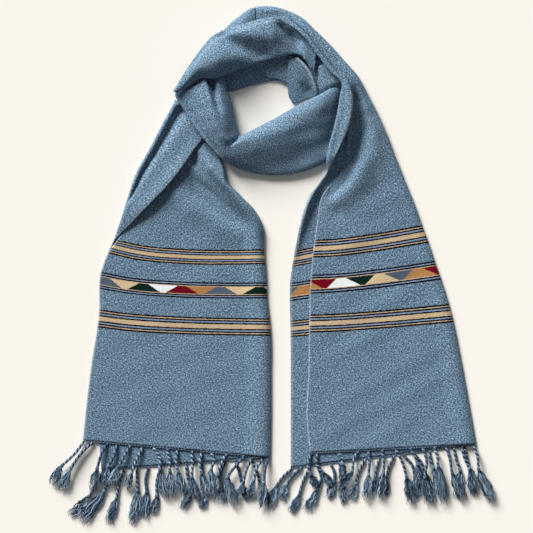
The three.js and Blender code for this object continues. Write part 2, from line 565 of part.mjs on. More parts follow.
const LEFT_FRONT_FRINGE = table(FRINGE_COLUMNS, [
  [0.006, -2, -316.7, -300.4, -331, -329, 0],
  [0.053, 3, -305, -307, -317, -337, 0],
  [0.13, 2, -264, -304.9, -271, -338, 2],
  [0.183, -2, -247, -301, -254, -329, 0],
  [0.253, 0, -231.8, -301.5, -243, -331, 1],
  [0.322, 1, -212.3, -310.6, -220, -336, 1],
  [0.38, -5, -170, -307, -160, -349, 1],
  [0.45, -2, -155, -309, -149, -346, 1],
  [0.506, 2, -143, -309, -134, -343, 1],
  [0.583, -1, -121.9, -317.5, -115, -354, 1],
  [0.637, 3, -107.5, -312, -99, -346, 1],
  [0.69, -4, -93, -305, -90, -350, 1],
  [0.765, 1, -83, -314, -80, -338, 1],
  [0.862, 1, -68, -317.5, -56, -361, 1],
  [0.908, 2, -45, -325, -52, -345, 1],
  [0.965, 3, -29, -322, -36, -346, 1],
  [0.992, 2, -14, -325, -19, -364, 4],
]);
const LEFT_BACK_FRINGE = table(FRINGE_COLUMNS, [
  [0.01, -1, -276.5, -346.3, -304, -375, 0],
  [0.05, -2, -253.6, -338.2, -286, -385, 0],
  [0.14, 2, -235.3, -349.8, -248, -387, 0],
  [0.215, 0, -203.5, -338.2, -212, -387, 0],
  [0.285, 3, -190, -340, -196, -380, 0],
  [0.36, 3, -175, -346.3, -183, -373, 0],
  [0.515, 1, -124.7, -335, -136, -365, 0],
  [0.61, 1, -103, -336.3, -108, -364, 0],
  [0.755, 2, -80, -322, -76, -356, 0],
  [0.815, -1, -47, -329, -36, -352, 0],
  [0.91, -2, -20, -328, -8, -350, 0],
]);
const RIGHT_FRONT_FRINGE = table(FRINGE_COLUMNS, [
  [0.006, 4, 56, -314, 66, -334, 0],
  [0.045, 5, 74.5, -311, 88, -331, 0],
  [0.17, -3, 104, -298, 105, -322, 5],
  [0.286, 2, 118, -310, 96, -334, 0],
  [0.355, -1, 143, -313.6, 139.6, -352, 1],
  [0.434, -2, 165, -311.4, 159, -349, 1],
  [0.52, -2, 199.8, -318, 207, -356, 1],
  [0.604, -2, 216, -298, 220, -334, 1],
  [0.683, -4, 227, -318, 233.4, -357, 1],
  [0.748, -2, 247, -301, 256, -357, 1],
  [0.823, -1, 268.2, -311.7, 285, -351, 1],
  [0.916, 2, 294, -304.2, 302, -340, 1],
  [0.988, -2, 308, -306.7, 330, -354, 1],
]);
const RIGHT_BACK_FRINGE = table(FRINGE_COLUMNS, [
  [0.005, 2, 5, -331, -6, -364, 0],
  [0.06, 2, 20, -329, 12, -352, 0],
  [0.108, 2, 38.5, -344.5, 26, -370, 0],
  [0.145, -6, 66, -336.6, 50, -368, 0],
  [0.22, -3, 91, -325, 82.3, -349, 0],
  [0.27, 1, 103, -326, 106, -356, 0],
  [0.41, 2, 124, -327, 118, -351, 0],
  [0.49, 1, 152, -322, 141, -342, 0],
  [0.57, 2, 170, -322, 166, -345, 0],
  [0.62, -5, 212, -318, 217, -349, 0],
  [0.68, -3, 228, -313, 240, -355, 0],
  [0.765, 1, 240, -304, 258, -349, 0],
  [0.9, 1, 280, -308, 275.5, -347, 0],
  [0.96, 0, 294.3, -309, 299, -345, 0],
]);

// Front fringes end on top of the back ones, which end just above the table.
const FRONT_FRINGE_END = 9;
const BACK_FRINGE_END = 3;

const rowStart = (rows) => rows[0];
const frontHem = (row) => [[row.frontX, row.frontY, row.frontZ], [row.foldX, row.foldY, row.foldZ]];
const backHem = (row) => [[row.backX, row.backY, FLOOR_LAYER], [row.foldX - 6, row.foldY - 1.2, FLOOR_LAYER]];

const muffler = new THREE.Group();
function add(name, geometry, material = WOOL) {
  const mesh = new THREE.Mesh(geometry, material);
  mesh.name = name;
  mesh.position.set(-MIDDLE.x, -MIDDLE.y, 0);
  muffler.add(mesh);
}

function tailGrid(rows, folds, lapelFolds) {
  const grid = clothGrid(rows, tailKnots, TAIL_STEPS, tailRowSteps);
  pressFolds(grid, folds, (j) => (j < TAIL_FRONT_COLUMNS ? 1 : 0), tailFloor);
  return pressFolds(grid, lapelFolds, (j) => (j > TAIL_LAPEL_COLUMN ? 1 : 0), noFloor);
}
const bandGrid = (rows, folds) => (
  pressFolds(clothGrid(rows, bandKnots, BAND_STEPS, twoSteps), folds, bandWeight, noFloor)
);
const layerGrid = (rows) => clothGrid(rows, layerKnots, LAYER_STEPS, twoSteps);

add("left_tail", wallGeometry(tailGrid(LEFT_TAIL, LEFT_TAIL_FOLDS, LEFT_LAPEL_FOLDS)));
add("right_tail", wallGeometry(tailGrid(RIGHT_TAIL, RIGHT_TAIL_FOLDS, NO_FOLDS)));
add("throat_band", roundedGeometry(bandGrid(THROAT, THROAT_FOLDS)));
add("nape_roll", roundedGeometry(bandGrid(NAPE, NAPE_FOLDS)));
add("nape_back_layer", wallGeometry(layerGrid(NAPE_BACK)));
add("inner_turn_lower_layer", wallGeometry(layerGrid(INNER_LOWER)));
add("inner_turn_upper_layer", wallGeometry(layerGrid(INNER_UPPER)));
add("inner_turn_fold", wallGeometry(layerGrid(INNER_FOLD)));
add("inner_turn_end", wallGeometry(layerGrid(INNER_END)));
add("left_front_fringe", fringeGeometry(frontHem(LEFT_TAIL[0]), LEFT_FRONT_FRINGE, FRONT_FRINGE_END), FRINGE_WOOL);
add("left_back_fringe", fringeGeometry(backHem(LEFT_TAIL[0]), LEFT_BACK_FRINGE, BACK_FRINGE_END), FRINGE_WOOL);
add("right_front_fringe", fringeGeometry(frontHem(RIGHT_TAIL[0]), RIGHT_FRONT_FRINGE, FRONT_FRINGE_END), FRINGE_WOOL);
add("right_back_fringe", fringeGeometry(backHem(RIGHT_TAIL[0]), RIGHT_BACK_FRINGE, BACK_FRINGE_END), FRINGE_WOOL);

export default muffler;
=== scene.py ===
# %% [markdown]
# # A wool muffler, laid flat
#
# This lesson dresses a handwoven wool muffler. It is one long cloth, folded in half lengthwise,
# wound round an open neck hole and laid on a pale table. Both ends are woven with
# stripes and a row of small triangles, and finished with twisted, knotted fringes.
#
# Cloth could be simulated, but this one has been laid by hand, and each fold of it is known. So
# every stretch is shaped directly: a few sections across the cloth are drawn through knots, smooth
# curves join them along the cloth, and the main creases are pressed in afterwards.

# %% Load the solids that this scene dresses
import math

import bpy
import numpy as np
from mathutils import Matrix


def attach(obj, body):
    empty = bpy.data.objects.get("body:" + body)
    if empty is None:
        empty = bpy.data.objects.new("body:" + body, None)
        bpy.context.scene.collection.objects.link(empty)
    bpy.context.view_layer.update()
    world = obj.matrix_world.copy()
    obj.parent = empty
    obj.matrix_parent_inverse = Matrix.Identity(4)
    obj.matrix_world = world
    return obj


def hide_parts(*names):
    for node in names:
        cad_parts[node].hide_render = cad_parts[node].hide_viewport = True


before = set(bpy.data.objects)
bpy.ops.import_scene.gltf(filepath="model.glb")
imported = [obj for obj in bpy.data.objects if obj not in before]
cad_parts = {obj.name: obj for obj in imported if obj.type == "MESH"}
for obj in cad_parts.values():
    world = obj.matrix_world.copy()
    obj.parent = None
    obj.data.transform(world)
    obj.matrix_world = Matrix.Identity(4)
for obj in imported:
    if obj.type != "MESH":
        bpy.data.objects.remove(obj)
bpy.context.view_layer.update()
print("solids:", sorted(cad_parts))

# %% [markdown]
# The numbers below are in millimetres, in the drawing that the solids were made from. The solids
# then had their middle moved to the origin, so the same shift is used here, along with metres.

# %% From the drawing to Blender
DRAWING_MIDDLE = np.array([-0.5, 0.6, 0.0])
MM = 0.001
CLOTH = 1.6  # thickness of the fulled wool
HALF_CLOTH = CLOTH / 2
NEXT_LAYER = 2.9  # least height of the middle of a layer that lies on another one


def in_metres(points):
    return (np.asarray(points, float) - DRAWING_MIDDLE) * MM


print("drawing origin lands at", in_metres([0, 0, 0]))

# %% [markdown]
# A table is a line of column names and a line of numbers for each section, knot or fold, which
# keeps the measurements readable.

# %% Tables with named columns
def table(columns, rows):
    names = columns.split()
    for row in rows:
        assert len(row) == len(names), (len(row), names)
    return [dict(zip(names, row)) for row in rows]


def column(rows, name):
    return np.array([row[name] for row in rows], float)


print("one row of a table:", table("along width", [[0, 280]]))

# %% [markdown]
# A smooth curve has to pass through every knot without swinging out between two that lie close
# together. A cubic whose slope at a knot comes from the parabola through it and its neighbours
# does that, also where the knots are unevenly spaced. The same curve is used across the cloth and
# along it.

# %% Smooth curves through knots
def curve_through(stations, points, at):
    x = np.asarray(stations, float)
    p = np.asarray(points, float)
    step = np.diff(x)[:, None]
    rise = np.diff(p, axis=0) / step
    slope = np.empty_like(p)
    slope[0], slope[-1] = rise[0], rise[-1]
    slope[1:-1] = (rise[:-1] * step[1:] + rise[1:] * step[:-1]) / (step[:-1] + step[1:])
    i = np.clip(np.searchsorted(x, at, side="right") - 1, 0, len(x) - 2)
    h = step[i]
    t = (np.asarray(at)[:, None] - x[i][:, None]) / h
    return (
        (2 * t**3 - 3 * t**2 + 1) * p[i]
        + (t**3 - 2 * t**2 + t) * h * slope[i]
        + (3 * t**2 - 2 * t**3) * p[i + 1]
        + (t**3 - t**2) * h * slope[i + 1]
    )


print("a curve halfway:", curve_through([0, 1, 3], [[0.0], [1.0], [0.0]], [0.5, 2.0]).ravel())

# %% [markdown]
# The cloth is a grid of points in the middle of its thickness. Each point also keeps its place in
# the cloth itself: how far across the weave it is, how far along, and how far from the nearest
# selvedge. The stripes and the yarns are drawn from those, so they follow every fold.

# %% A grid of cloth
SHORTEST_SPAN = 0.2  # mm, so that no two knots fall together


class Grid:
    def __init__(self, rows, knots_of, spacing, across_from=0):
        knots = np.array([knots_of(row) for row in rows], float)
        gaps = np.linalg.norm(np.diff(knots, axis=1), axis=2)
        spans = np.maximum(SHORTEST_SPAN, gaps)
        stations = np.concatenate([np.zeros((len(rows), 1)), np.cumsum(spans, axis=1)], axis=1)
        steps = np.maximum(1, np.ceil(spans.max(axis=0) / spacing)).astype(int)
        self.starts = np.concatenate([[0], np.cumsum(steps)])  # the column of each knot
        along = column(rows, "along")
        places = np.concatenate(
            [np.arange(n) / n + i for i, n in enumerate(steps)] + [[float(len(steps))]]
        )
        sections, across = [], []
        for row_knots, row_stations in zip(knots, stations):
            at = np.interp(places, np.arange(len(row_stations)), row_stations)
            sections.append(curve_through(row_stations, row_knots, at))
            across.append(at - row_stations[across_from])
        count = sum(max(1, math.ceil(gap / spacing)) for gap in np.diff(along))
        at = np.linspace(along[0], along[-1], count + 1)
        flat = np.array(sections).reshape(len(rows), -1)
        self.points = curve_through(along, flat, at).reshape(len(at), -1, 3)
        self.across = curve_through(along, np.array(across), at)
        self.along = np.repeat(at[:, None], self.points.shape[1], axis=1)
        first, last = self.across[:, :1], self.across[:, -1:]
        self.selvedge = np.minimum(self.across - first, last - self.across)


def flat_section(row):
    return [[0, row["along"], 0], [row["width"], row["along"], 0]]


patch = Grid(table("along width", [[0, 20], [30, 20]]), flat_section, spacing=5)
print("a patch of 20 x 30 mm is a grid of", patch.points.shape[:2], "points")

# %% [markdown]
# A crease is soft: a trough or a ridge with a rounded section, whose depth and width change along
# its line, and which can be steeper on one side. It is drawn as a line of points on the plan, and
# the cloth below or above it is moved straight down or up.

# %% Troughs and ridges
CREASE = "x y left right lift"


def press(grid, creases, weight):
    """weight is how much each column of the grid takes part."""
    x, y = grid.points[..., 0], grid.points[..., 1]
    for crease in creases:
        nearest = np.full(x.shape, 1e9)
        effect = np.zeros(x.shape)
        for a, b in zip(crease, crease[1:]):
            dx, dy = b["x"] - a["x"], b["y"] - a["y"]
            ahead = ((x - a["x"]) * dx + (y - a["y"]) * dy) / (dx * dx + dy * dy)
            t = np.clip(ahead, 0, 1)
            away = np.hypot(x - a["x"] - t * dx, y - a["y"] - t * dy)
            on_left = dx * (y - a["y"]) - dy * (x - a["x"]) > 0
            left = a["left"] + (b["left"] - a["left"]) * t
            right = a["right"] + (b["right"] - a["right"]) * t
            lift = a["lift"] + (b["lift"] - a["lift"]) * t
            here = lift * np.exp(-((away / np.where(on_left, left, right)) ** 2))
            effect = np.where(away < nearest, here, effect)
            nearest = np.minimum(away, nearest)
        grid.points[..., 2] += effect * weight


press(patch, [table(CREASE, [[10, 0, 4, 4, -3], [10, 30, 4, 4, -3]])], weight=1.0)
print("a trough takes the patch down to", round(patch.points[..., 2].min(), 2), "mm")

# %% [markdown]
# No laid cloth is quite even. A few long, low waves in random directions, always the same ones
# because the numbers are seeded, keep the broad faces from looking like paper.

# %% Slow ripples
def ripple(grid, weight, height, lengths, seed):
    rng = np.random.default_rng(seed)
    x, y = grid.points[..., 0], grid.points[..., 1]
    total = np.zeros(x.shape)
    for length in lengths:
        turn, phase = rng.uniform(0, 2 * math.pi, 2)
        total += np.sin((x * math.cos(turn) + y * math.sin(turn)) * 2 * math.pi / length + phase)
    grid.points[..., 2] += total * height / len(lengths) * weight


ripple(patch, weight=1.0, height=0.5, lengths=(20, 30), seed=1)
print("with ripples its lowest point is at", round(patch.points[..., 2].min(), 2), "mm")

# %% [markdown]
# The grid becomes a mesh with two maps: the place in the cloth, and the distance from a selvedge.
# Solidify then gives it the thickness of wool. Layers that lie flat grow to both sides of their
# middle, and the rolls grow inwards from their outer skin.

# %% Cloth meshes
def cloth_object(name, grid, offset=0.0):
    rows, cols = grid.points.shape[:2]
    index = np.arange(rows * cols).reshape(rows, cols)
    corners = [index[:-1, :-1], index[:-1, 1:], index[1:, 1:], index[1:, :-1]]
    quads = np.stack(corners, axis=-1).reshape(-1, 4)
    mesh = bpy.data.meshes.new(name)
    mesh.from_pydata(in_metres(grid.points.reshape(-1, 3)).tolist(), [], quads.tolist())
    loops = np.empty(len(mesh.loops), int)
    mesh.loops.foreach_get("vertex_index", loops)
    for title, sideways in (("cloth", grid.across), ("edge", grid.selvedge)):
        layer = mesh.uv_layers.new(name=title)
        pairs = np.stack([sideways.ravel(), grid.along.ravel()], axis=1)[loops] * MM
        layer.uv.foreach_set("vector", pairs.astype(np.float32).ravel())
    mesh.polygons.foreach_set("use_smooth", [True] * len(mesh.polygons))
    made = bpy.data.objects.new(name, mesh)
    bpy.context.scene.collection.objects.link(made)
    thick = made.modifiers.new("wool thickness", "SOLIDIFY")
    thick.thickness = CLOTH * MM
    thick.offset = offset
    return made


print("the cloth is drawn", CLOTH, "mm thick")

# %% [markdown]
# Colours are written as the sRGB hex values that a colour picker shows, and one function turns
# them into the linear numbers that the shader wants. One more adds a node with its settings and
# links, so that a material reads as a list of what it is made of.

# %% Colours and nodes
def hex_colour(text):
    parts = [int(text[i : i + 2], 16) / 255 for i in (1, 3, 5)]
    linear = [c / 12.92 if c <= 0.04045 else ((c + 0.055) / 1.055) ** 2.4 for c in parts]
    return (*linear, 1.0)


def add(tree, kind, inputs=None, **settings):
    made = tree.nodes.new(kind)
    for name, value in settings.items():
        setattr(made, name, value)
    for name, value in (inputs or {}).items():
        if isinstance(value, bpy.types.NodeSocket):
            tree.links.new(value, made.inputs[name])
        else:
            made.inputs[name].default_value = value
    return made


def new_material(name):
    made = bpy.data.materials.new(name)
    made.use_nodes = True
    tree = made.node_tree
    tree.nodes.clear()
    return made, tree


print("a mid blue in linear light:", [round(c, 3) for c in hex_colour("#57738b")])

# %% [markdown]
# The cloth looks like carded wool in a plain heather. Each yarn is then spun from pale, mid and
# dark blue fibres, and the woven cloth is fulled, which closes the weave and raises a short nap.
# To the eye it is a soft salt-and-pepper blue-grey with faint short dashes both ways.
#
# A picture of the yarns could be repeated over the cloth, but its repeat would show. Noise that is
# stretched along the weft, and more that is stretched along the warp, gives the same dashes and
# never repeats.
#
# The threads of such a cloth are taken to be about 1 mm apart, which is too fine to show here,
# where a pixel is 1.5 mm wide. The dashes stand for bundles of fibres. They are drawn as coarse as
# they need to be for their speckle to look like the real one, and their size was chosen.

# %% The heather of the ground
YARN = 1.15  # mm across a drawn dash
DASH = 2.9  # mm along a drawn dash
FLECK = 1.35  # mm across the finer flecks that break the dashes up
CLOUD = 60  # mm across the faint lighter and darker places
PALE_FIBRE, MID_FIBRE, DARK_FIBRE = "#b0cbe0", "#57738b", "#132237"


def heather(tree, place):
    """Colour of the ground, its woven height, and the speckle that the stripes share."""
    tones = []
    for scale in ((1000 / DASH, 1000 / YARN, 1), (1000 / YARN, 1000 / DASH, 1)):
        dashes = add(tree, "ShaderNodeMapping", {"Vector": place, "Scale": scale})
        tones.append(add(tree, "ShaderNodeTexNoise", {
            "Vector": dashes.outputs[0], "Scale": 1.0, "Detail": 2.0, "Roughness": 0.6,
        }).outputs[0])
    fleck = add(tree, "ShaderNodeTexNoise", {
        "Vector": place, "Scale": 1000 / FLECK, "Detail": 3.0, "Roughness": 0.7,
    })
    both = add(tree, "ShaderNodeMath", {0: tones[0], 1: tones[1]}, operation="ADD")
    all_three = add(tree, "ShaderNodeMath", {
        0: fleck.outputs[0], 1: 0.9, 2: both.outputs[0],
    }, operation="MULTIPLY_ADD")
    speckle = add(tree, "ShaderNodeMapRange", {
        "Value": all_three.outputs[0], "From Min": 1.05, "From Max": 1.85,
    })
    ramp = add(tree, "ShaderNodeValToRGB", {"Fac": speckle.outputs[0]})
    stops = ramp.color_ramp.elements
    stops[0].position, stops[0].color = 0.12, hex_colour(DARK_FIBRE)
    stops[1].position, stops[1].color = 0.88, hex_colour(PALE_FIBRE)
    stops.new(0.5).color = hex_colour(MID_FIBRE)
    cloudy = add(tree, "ShaderNodeTexNoise", {
        "Vector": place, "Scale": 1000 / CLOUD, "Detail": 2.0,
    })
    cloud = add(tree, "ShaderNodeMapRange", {
        "Value": cloudy.outputs[0], "To Min": 0.93, "To Max": 1.07,
    })
    ground = add(tree, "ShaderNodeMix", {
        "Factor": 1.0, 6: ramp.outputs[0], 7: cloud.outputs[0],
    }, data_type="RGBA", blend_type="MULTIPLY")
    return ground.outputs[2], both.outputs[0], speckle.outputs[0]


print("the dashes of the heather are", DASH, "x", YARN, "mm")

# %% [markdown]
# Each end carries the same three woven bands. The outer two are sets of stripes, tan and blue
# with near-black lines between. The middle one is a row of triangles in six yarns, between
# narrower lines. A colour ramp with hard stops draws such a set, read along the cloth.

# %% The sets of stripes
LINE, PALE_TAN, GAP, BAND = "#0d0809", "#c2ab92", "#7d92b0", "#c3ae8f"
# Each stripe is the share of its set that it takes, and its colour.
STRIPE_SET = [
    (0.09, LINE), (0.05, PALE_TAN), (0.085, LINE), (0.075, GAP), (0.08, LINE), (0.24, BAND),
    (0.08, LINE), (0.075, GAP), (0.085, LINE), (0.05, PALE_TAN), (0.09, LINE),
]
TRIANGLE_SET = [
    (0.085, LINE), (0.055, GAP), (0.08, LINE), (0.045, PALE_TAN), (0.47, None),
    (0.045, PALE_TAN), (0.08, LINE), (0.055, GAP), (0.085, LINE),
]
TRIANGLE_BORDER = 0.265  # the share of the middle set that lies on either side of its triangles
STRIPE_PLACES = [(180.0, 207.5), (292.5, 320.0)]  # mm from the hem
TRIANGLE_PLACE = (238.0, 267.0)


def within_band(tree, share):
    """1 inside a band, where share runs from 0 to 1, and 0 outside it."""
    over = add(tree, "ShaderNodeMath", {0: share, 1: 0.0}, operation="GREATER_THAN")
    under = add(tree, "ShaderNodeMath", {0: share, 1: 1.0}, operation="LESS_THAN")
    both = {0: over.outputs[0], 1: under.outputs[0]}
    return add(tree, "ShaderNodeMath", both, operation="MULTIPLY").outputs[0]


def stripe_ramp(tree, place, stripes):
    ramp = add(tree, "ShaderNodeValToRGB", {"Fac": place})
    ramp.color_ramp.interpolation = "CONSTANT"
    stops = ramp.color_ramp.elements
    at = 0.0
    for i, (share, colour) in enumerate(stripes):
        stop = stops[0] if i == 0 else stops[1] if i == 1 else stops.new(at)
        stop.position = at
        stop.color = hex_colour(colour or LINE)
        at += share
    return ramp.outputs[0]


print("shares add up to", sum(s for s, _ in STRIPE_SET), sum(s for s, _ in TRIANGLE_SET))

# %% [markdown]
# The triangles are woven as tapestry, with a wide foot and a narrow flat tip, so they are really
# trapezoids with stepped sides. Pointing up they repeat every 58 mm, and those between point
# down. The two ends of the muffler are the same pattern turned half round, so the other three
# yarns point up there.

# %% The row of triangles
SLATE, CREAM, PINE = "#525f72", "#d3bd98", "#03211c"
WHITE, RED, AMBER = "#eaf1f4", "#6c0218", "#aa7c4d"
REPEAT = 57.7  # mm from one tip to the next
FOOT, TIP = 24.2, 5.6  # half widths, mm
STEPS = 9  # rows of tapestry in the height of a triangle


def triangle_colours(tree, across, height, first_tip, up, down):
    """Which triangle a place is in gives its yarn; its own width narrows from foot to tip."""
    count = add(tree, "ShaderNodeMath", {0: across, 1: -first_tip}, operation="ADD")
    turns = add(tree, "ShaderNodeMath", {0: count.outputs[0], 1: REPEAT}, operation="DIVIDE")
    near = add(tree, "ShaderNodeMath", {0: turns.outputs[0], 1: 0.5}, operation="ADD")
    which_up = add(tree, "ShaderNodeMath", {0: near.outputs[0]}, operation="FLOOR")
    which_down = add(tree, "ShaderNodeMath", {0: turns.outputs[0]}, operation="FLOOR")
    from_tip = add(tree, "ShaderNodeMath", {
        0: turns.outputs[0], 1: which_up.outputs[0],
    }, operation="SUBTRACT")
    aside = add(tree, "ShaderNodeMath", {0: from_tip.outputs[0]}, operation="ABSOLUTE")
    aside_mm = add(tree, "ShaderNodeMath", {0: aside.outputs[0], 1: REPEAT}, operation="MULTIPLY")
    step = add(tree, "ShaderNodeMath", {0: height, 1: 1 / STEPS}, operation="SNAP")
    half = add(tree, "ShaderNodeMapRange", {
        "Value": step.outputs[0], "To Min": FOOT, "To Max": TIP,
    })
    inside = add(tree, "ShaderNodeMath", {
        0: aside_mm.outputs[0], 1: half.outputs[0],
    }, operation="LESS_THAN")
    picked = []
    for which, colours in ((which_up, up), (which_down, down)):
        ramp = add(tree, "ShaderNodeValToRGB")
        third = add(tree, "ShaderNodeMath", {0: which.outputs[0], 1: 1 / 3}, operation="MULTIPLY")
        turn = add(tree, "ShaderNodeMath", {0: third.outputs[0], 1: 1 / 6}, operation="ADD")
        part = add(tree, "ShaderNodeMath", {0: turn.outputs[0]}, operation="FRACT")
        tree.links.new(part.outputs[0], ramp.inputs[0])
        ramp.color_ramp.interpolation = "CONSTANT"
        stops = ramp.color_ramp.elements
        stops[0].position, stops[0].color = 0.0, hex_colour(colours[0])
        stops[1].position, stops[1].color = 1 / 3, hex_colour(colours[1])
        stops.new(2 / 3).color = hex_colour(colours[2])
        picked.append(ramp.outputs[0])
    mixed = add(tree, "ShaderNodeMix", {
        "Factor": inside.outputs[0], 6: picked[1], 7: picked[0],
    }, data_type="RGBA")
    return mixed.outputs[2]


print("the triangles repeat every", REPEAT, "mm")

# %% [markdown]
# The bands are laid over the ground by their place along the cloth. Their edges wander by up to a
# millimetre, as in weaving by hand. Every stripe is shaded by the same speckle as the ground,
# because it is woven from the same kind of yarn.

# %% The woven bands
WANDER = 3.0  # mm from one bend in the edge of a stripe to the next


def woven_bands(tree, place, ground, speckle, triangles):
    """The colour of the ground with the stripes and the triangles over it."""
    colour = ground
    split = add(tree, "ShaderNodeSeparateXYZ", {0: place})
    wobble = add(tree, "ShaderNodeTexNoise", {
        "Vector": place, "Scale": 1000 / WANDER, "Detail": 2.0,
    })
    shift = add(tree, "ShaderNodeMapRange", {
        "Value": wobble.outputs[0], "To Min": -1.0, "To Max": 1.0,
    })
    across, along = (
        add(tree, "ShaderNodeMath", {
            0: metres, 1: 1000.0, 2: shift.outputs[0],
        }, operation="MULTIPLY_ADD").outputs[0]
        for metres in split.outputs[:2]
    )
    shade = add(tree, "ShaderNodeMapRange", {"Value": speckle, "To Min": 0.78, "To Max": 1.16})
    for low, high in STRIPE_PLACES + [TRIANGLE_PLACE]:
        share = add(tree, "ShaderNodeMapRange", {
            "Value": along, "From Min": low, "From Max": high,
        }, clamp=False).outputs[0]
        is_plain = (low, high) != TRIANGLE_PLACE
        stripe = stripe_ramp(tree, share, STRIPE_SET if is_plain else TRIANGLE_SET)
        if not is_plain:
            height = add(tree, "ShaderNodeMapRange", {
                "Value": share, "From Min": TRIANGLE_BORDER, "From Max": 1 - TRIANGLE_BORDER,
            }, clamp=False).outputs[0]
            away = add(tree, "ShaderNodeMath", {0: across}, operation="ABSOLUTE")
            counted = add(tree, "ShaderNodeMath", {
                0: away.outputs[0], 1: -1.0,
            }, operation="MULTIPLY")
            blocks = triangle_colours(tree, counted.outputs[0], height, *triangles)
            stripe = add(tree, "ShaderNodeMix", {
                "Factor": within_band(tree, height), 6: stripe, 7: blocks,
            }, data_type="RGBA").outputs[2]
        shaded = add(tree, "ShaderNodeMix", {
            "Factor": 1.0, 6: stripe, 7: shade.outputs[0],
        }, data_type="RGBA", blend_type="MULTIPLY")
        colour = add(tree, "ShaderNodeMix", {
            "Factor": within_band(tree, share), 6: colour, 7: shaded.outputs[2],
        }, data_type="RGBA").outputs[2]
    return colour


print("bands at", STRIPE_PLACES + [TRIANGLE_PLACE], "mm from the hem")

# %% [markdown]
# The finished wool puts these together. A paler line marks the selvedge: partly where the weft
# turns back, and partly a painted highlight where the edge catches light. Where the selvedge is
# rolled over, the painted highlight is broader and stronger. The bump is the woven height plus a
# finer fuzz for the nap.
#
# Wool is rough, with an IOR of about 1.54, and its nap catches light at grazing angles, which is
# what the sheen is for.

# %% Wool cloth materials
# The pale line is partly the selvedge's own colour and partly a painted highlight of the edge.
PALE_EDGE_AND_HIGHLIGHT = "#b7c7d6"
# Metres in from the selvedge where the pale line and its painted highlight start to fade and
# where they end, and their strength.
FLAT_EDGE_AND_HIGHLIGHT = (0.0007, 0.0026, 0.7)
ROLLED_EDGE_AND_HIGHLIGHT = (0.0028, 0.0046, 1.0)
NAP = 1.6  # mm across the drawn fuzz; single fibres are far too fine to show


def wool_cloth(name, triangles=None, edge=FLAT_EDGE_AND_HIGHLIGHT):
    fades_from, fades_to, strength = edge
    made, tree = new_material(name)
    place = add(tree, "ShaderNodeUVMap", uv_map="cloth").outputs[0]
    colour, woven, speckle = heather(tree, place)
    if triangles:
        colour = woven_bands(tree, place, colour, speckle, triangles)
    edge_map = add(tree, "ShaderNodeUVMap", uv_map="edge")
    inwards = add(tree, "ShaderNodeSeparateXYZ", {0: edge_map.outputs[0]})
    # A pale line along the selvedge, broken by the speckle: partly its own colour, partly painted
    # highlight.
    edge_and_highlight = add(tree, "ShaderNodeMapRange", {
        "Value": inwards.outputs[0], "From Min": fades_from, "From Max": fades_to,
        "To Min": strength, "To Max": 0.0,
    })
    broken_edge_and_highlight = add(tree, "ShaderNodeMath", {0: edge_and_highlight.outputs[0], 1: speckle}, operation="MULTIPLY")
    colour = add(tree, "ShaderNodeMix", {
        "Factor": broken_edge_and_highlight.outputs[0], 6: colour, 7: hex_colour(PALE_EDGE_AND_HIGHLIGHT),
    }, data_type="RGBA").outputs[2]
    fuzz = add(tree, "ShaderNodeTexNoise", {
        "Vector": place, "Scale": 1000 / NAP, "Detail": 3.0, "Roughness": 0.7,
    })
    relief = add(tree, "ShaderNodeMath", {
        0: fuzz.outputs[0], 1: 0.8, 2: woven,
    }, operation="MULTIPLY_ADD")
    bump = add(tree, "ShaderNodeBump", {
        "Strength": 0.42, "Distance": 0.0010, "Height": relief.outputs[0],
    })
    shader = add(tree, "ShaderNodeBsdfPrincipled", {
        "Base Color": colour, "Roughness": 0.92, "IOR": 1.54, "Specular IOR Level": 0.06,
        "Sheen Weight": 0.06, "Sheen Roughness": 0.5, "Sheen Tint": hex_colour("#c9d6e2"),
        "Normal": bump.outputs[0],
    })
    add(tree, "ShaderNodeOutputMaterial", {"Surface": shader.outputs[0]})
    return made


# The first tip lies 12 or 29 mm in from the lengthwise fold. After it come the yarns of the
# triangles that point up, and of those that point down. The back layer mirrors the front.
PLAIN_WOOL = wool_cloth("Heathered fulled wool")
# The rolled selvedge gets a broader, stronger pale line: painted highlight of the rolled edge over
# its own paler colour.
SELVEDGE_AND_HIGHLIGHT_WOOL = wool_cloth(
    "Heathered fulled wool with a rolled pale selvedge", edge=ROLLED_EDGE_AND_HIGHLIGHT)
LEFT_WOOL = wool_cloth(
    "Heathered wool with woven bands, left end",
    (-12.0, (PINE, RED, SLATE), (WHITE, AMBER, CREAM)))
RIGHT_WOOL = wool_cloth(
    "Heathered wool with woven bands, right end",
    (-29.0, (AMBER, WHITE, CREAM), (RED, PINE, SLATE)))
print("materials:", [wool.name for wool in (PLAIN_WOOL, SELVEDGE_AND_HIGHLIGHT_WOOL, LEFT_WOOL, RIGHT_WOOL)])

# %% [markdown]
# A tail is the folded end of the muffler that hangs down. Its front layer runs from a selvedge to
# the lengthwise fold, goes round it, and comes back underneath as the layer on the table. Higher
# up, the margin of that back layer is turned over onto the front as a lapel.
#
# It could be two sheets, one on the other, but then the fold would have no roundness. So one
# section goes all the way round, and the whole tail is a single continuous cloth.

# %% The section of a tail
TAIL = """along frontX frontY frontZ sag midZ foldX foldY foldZ backX backY backZ
  turned lapelX lapelY lapelZ"""
FOLD_KNOT = 5  # halfway round the lengthwise fold
BACK_KNOT = 8  # seven tenths of the way across the back layer
LAPEL_KNOT = 11  # on the edge where the margin turns over
FLAT_MARGIN = 7  # mm of the back layer that hold the margin's knots where it isn't turned over


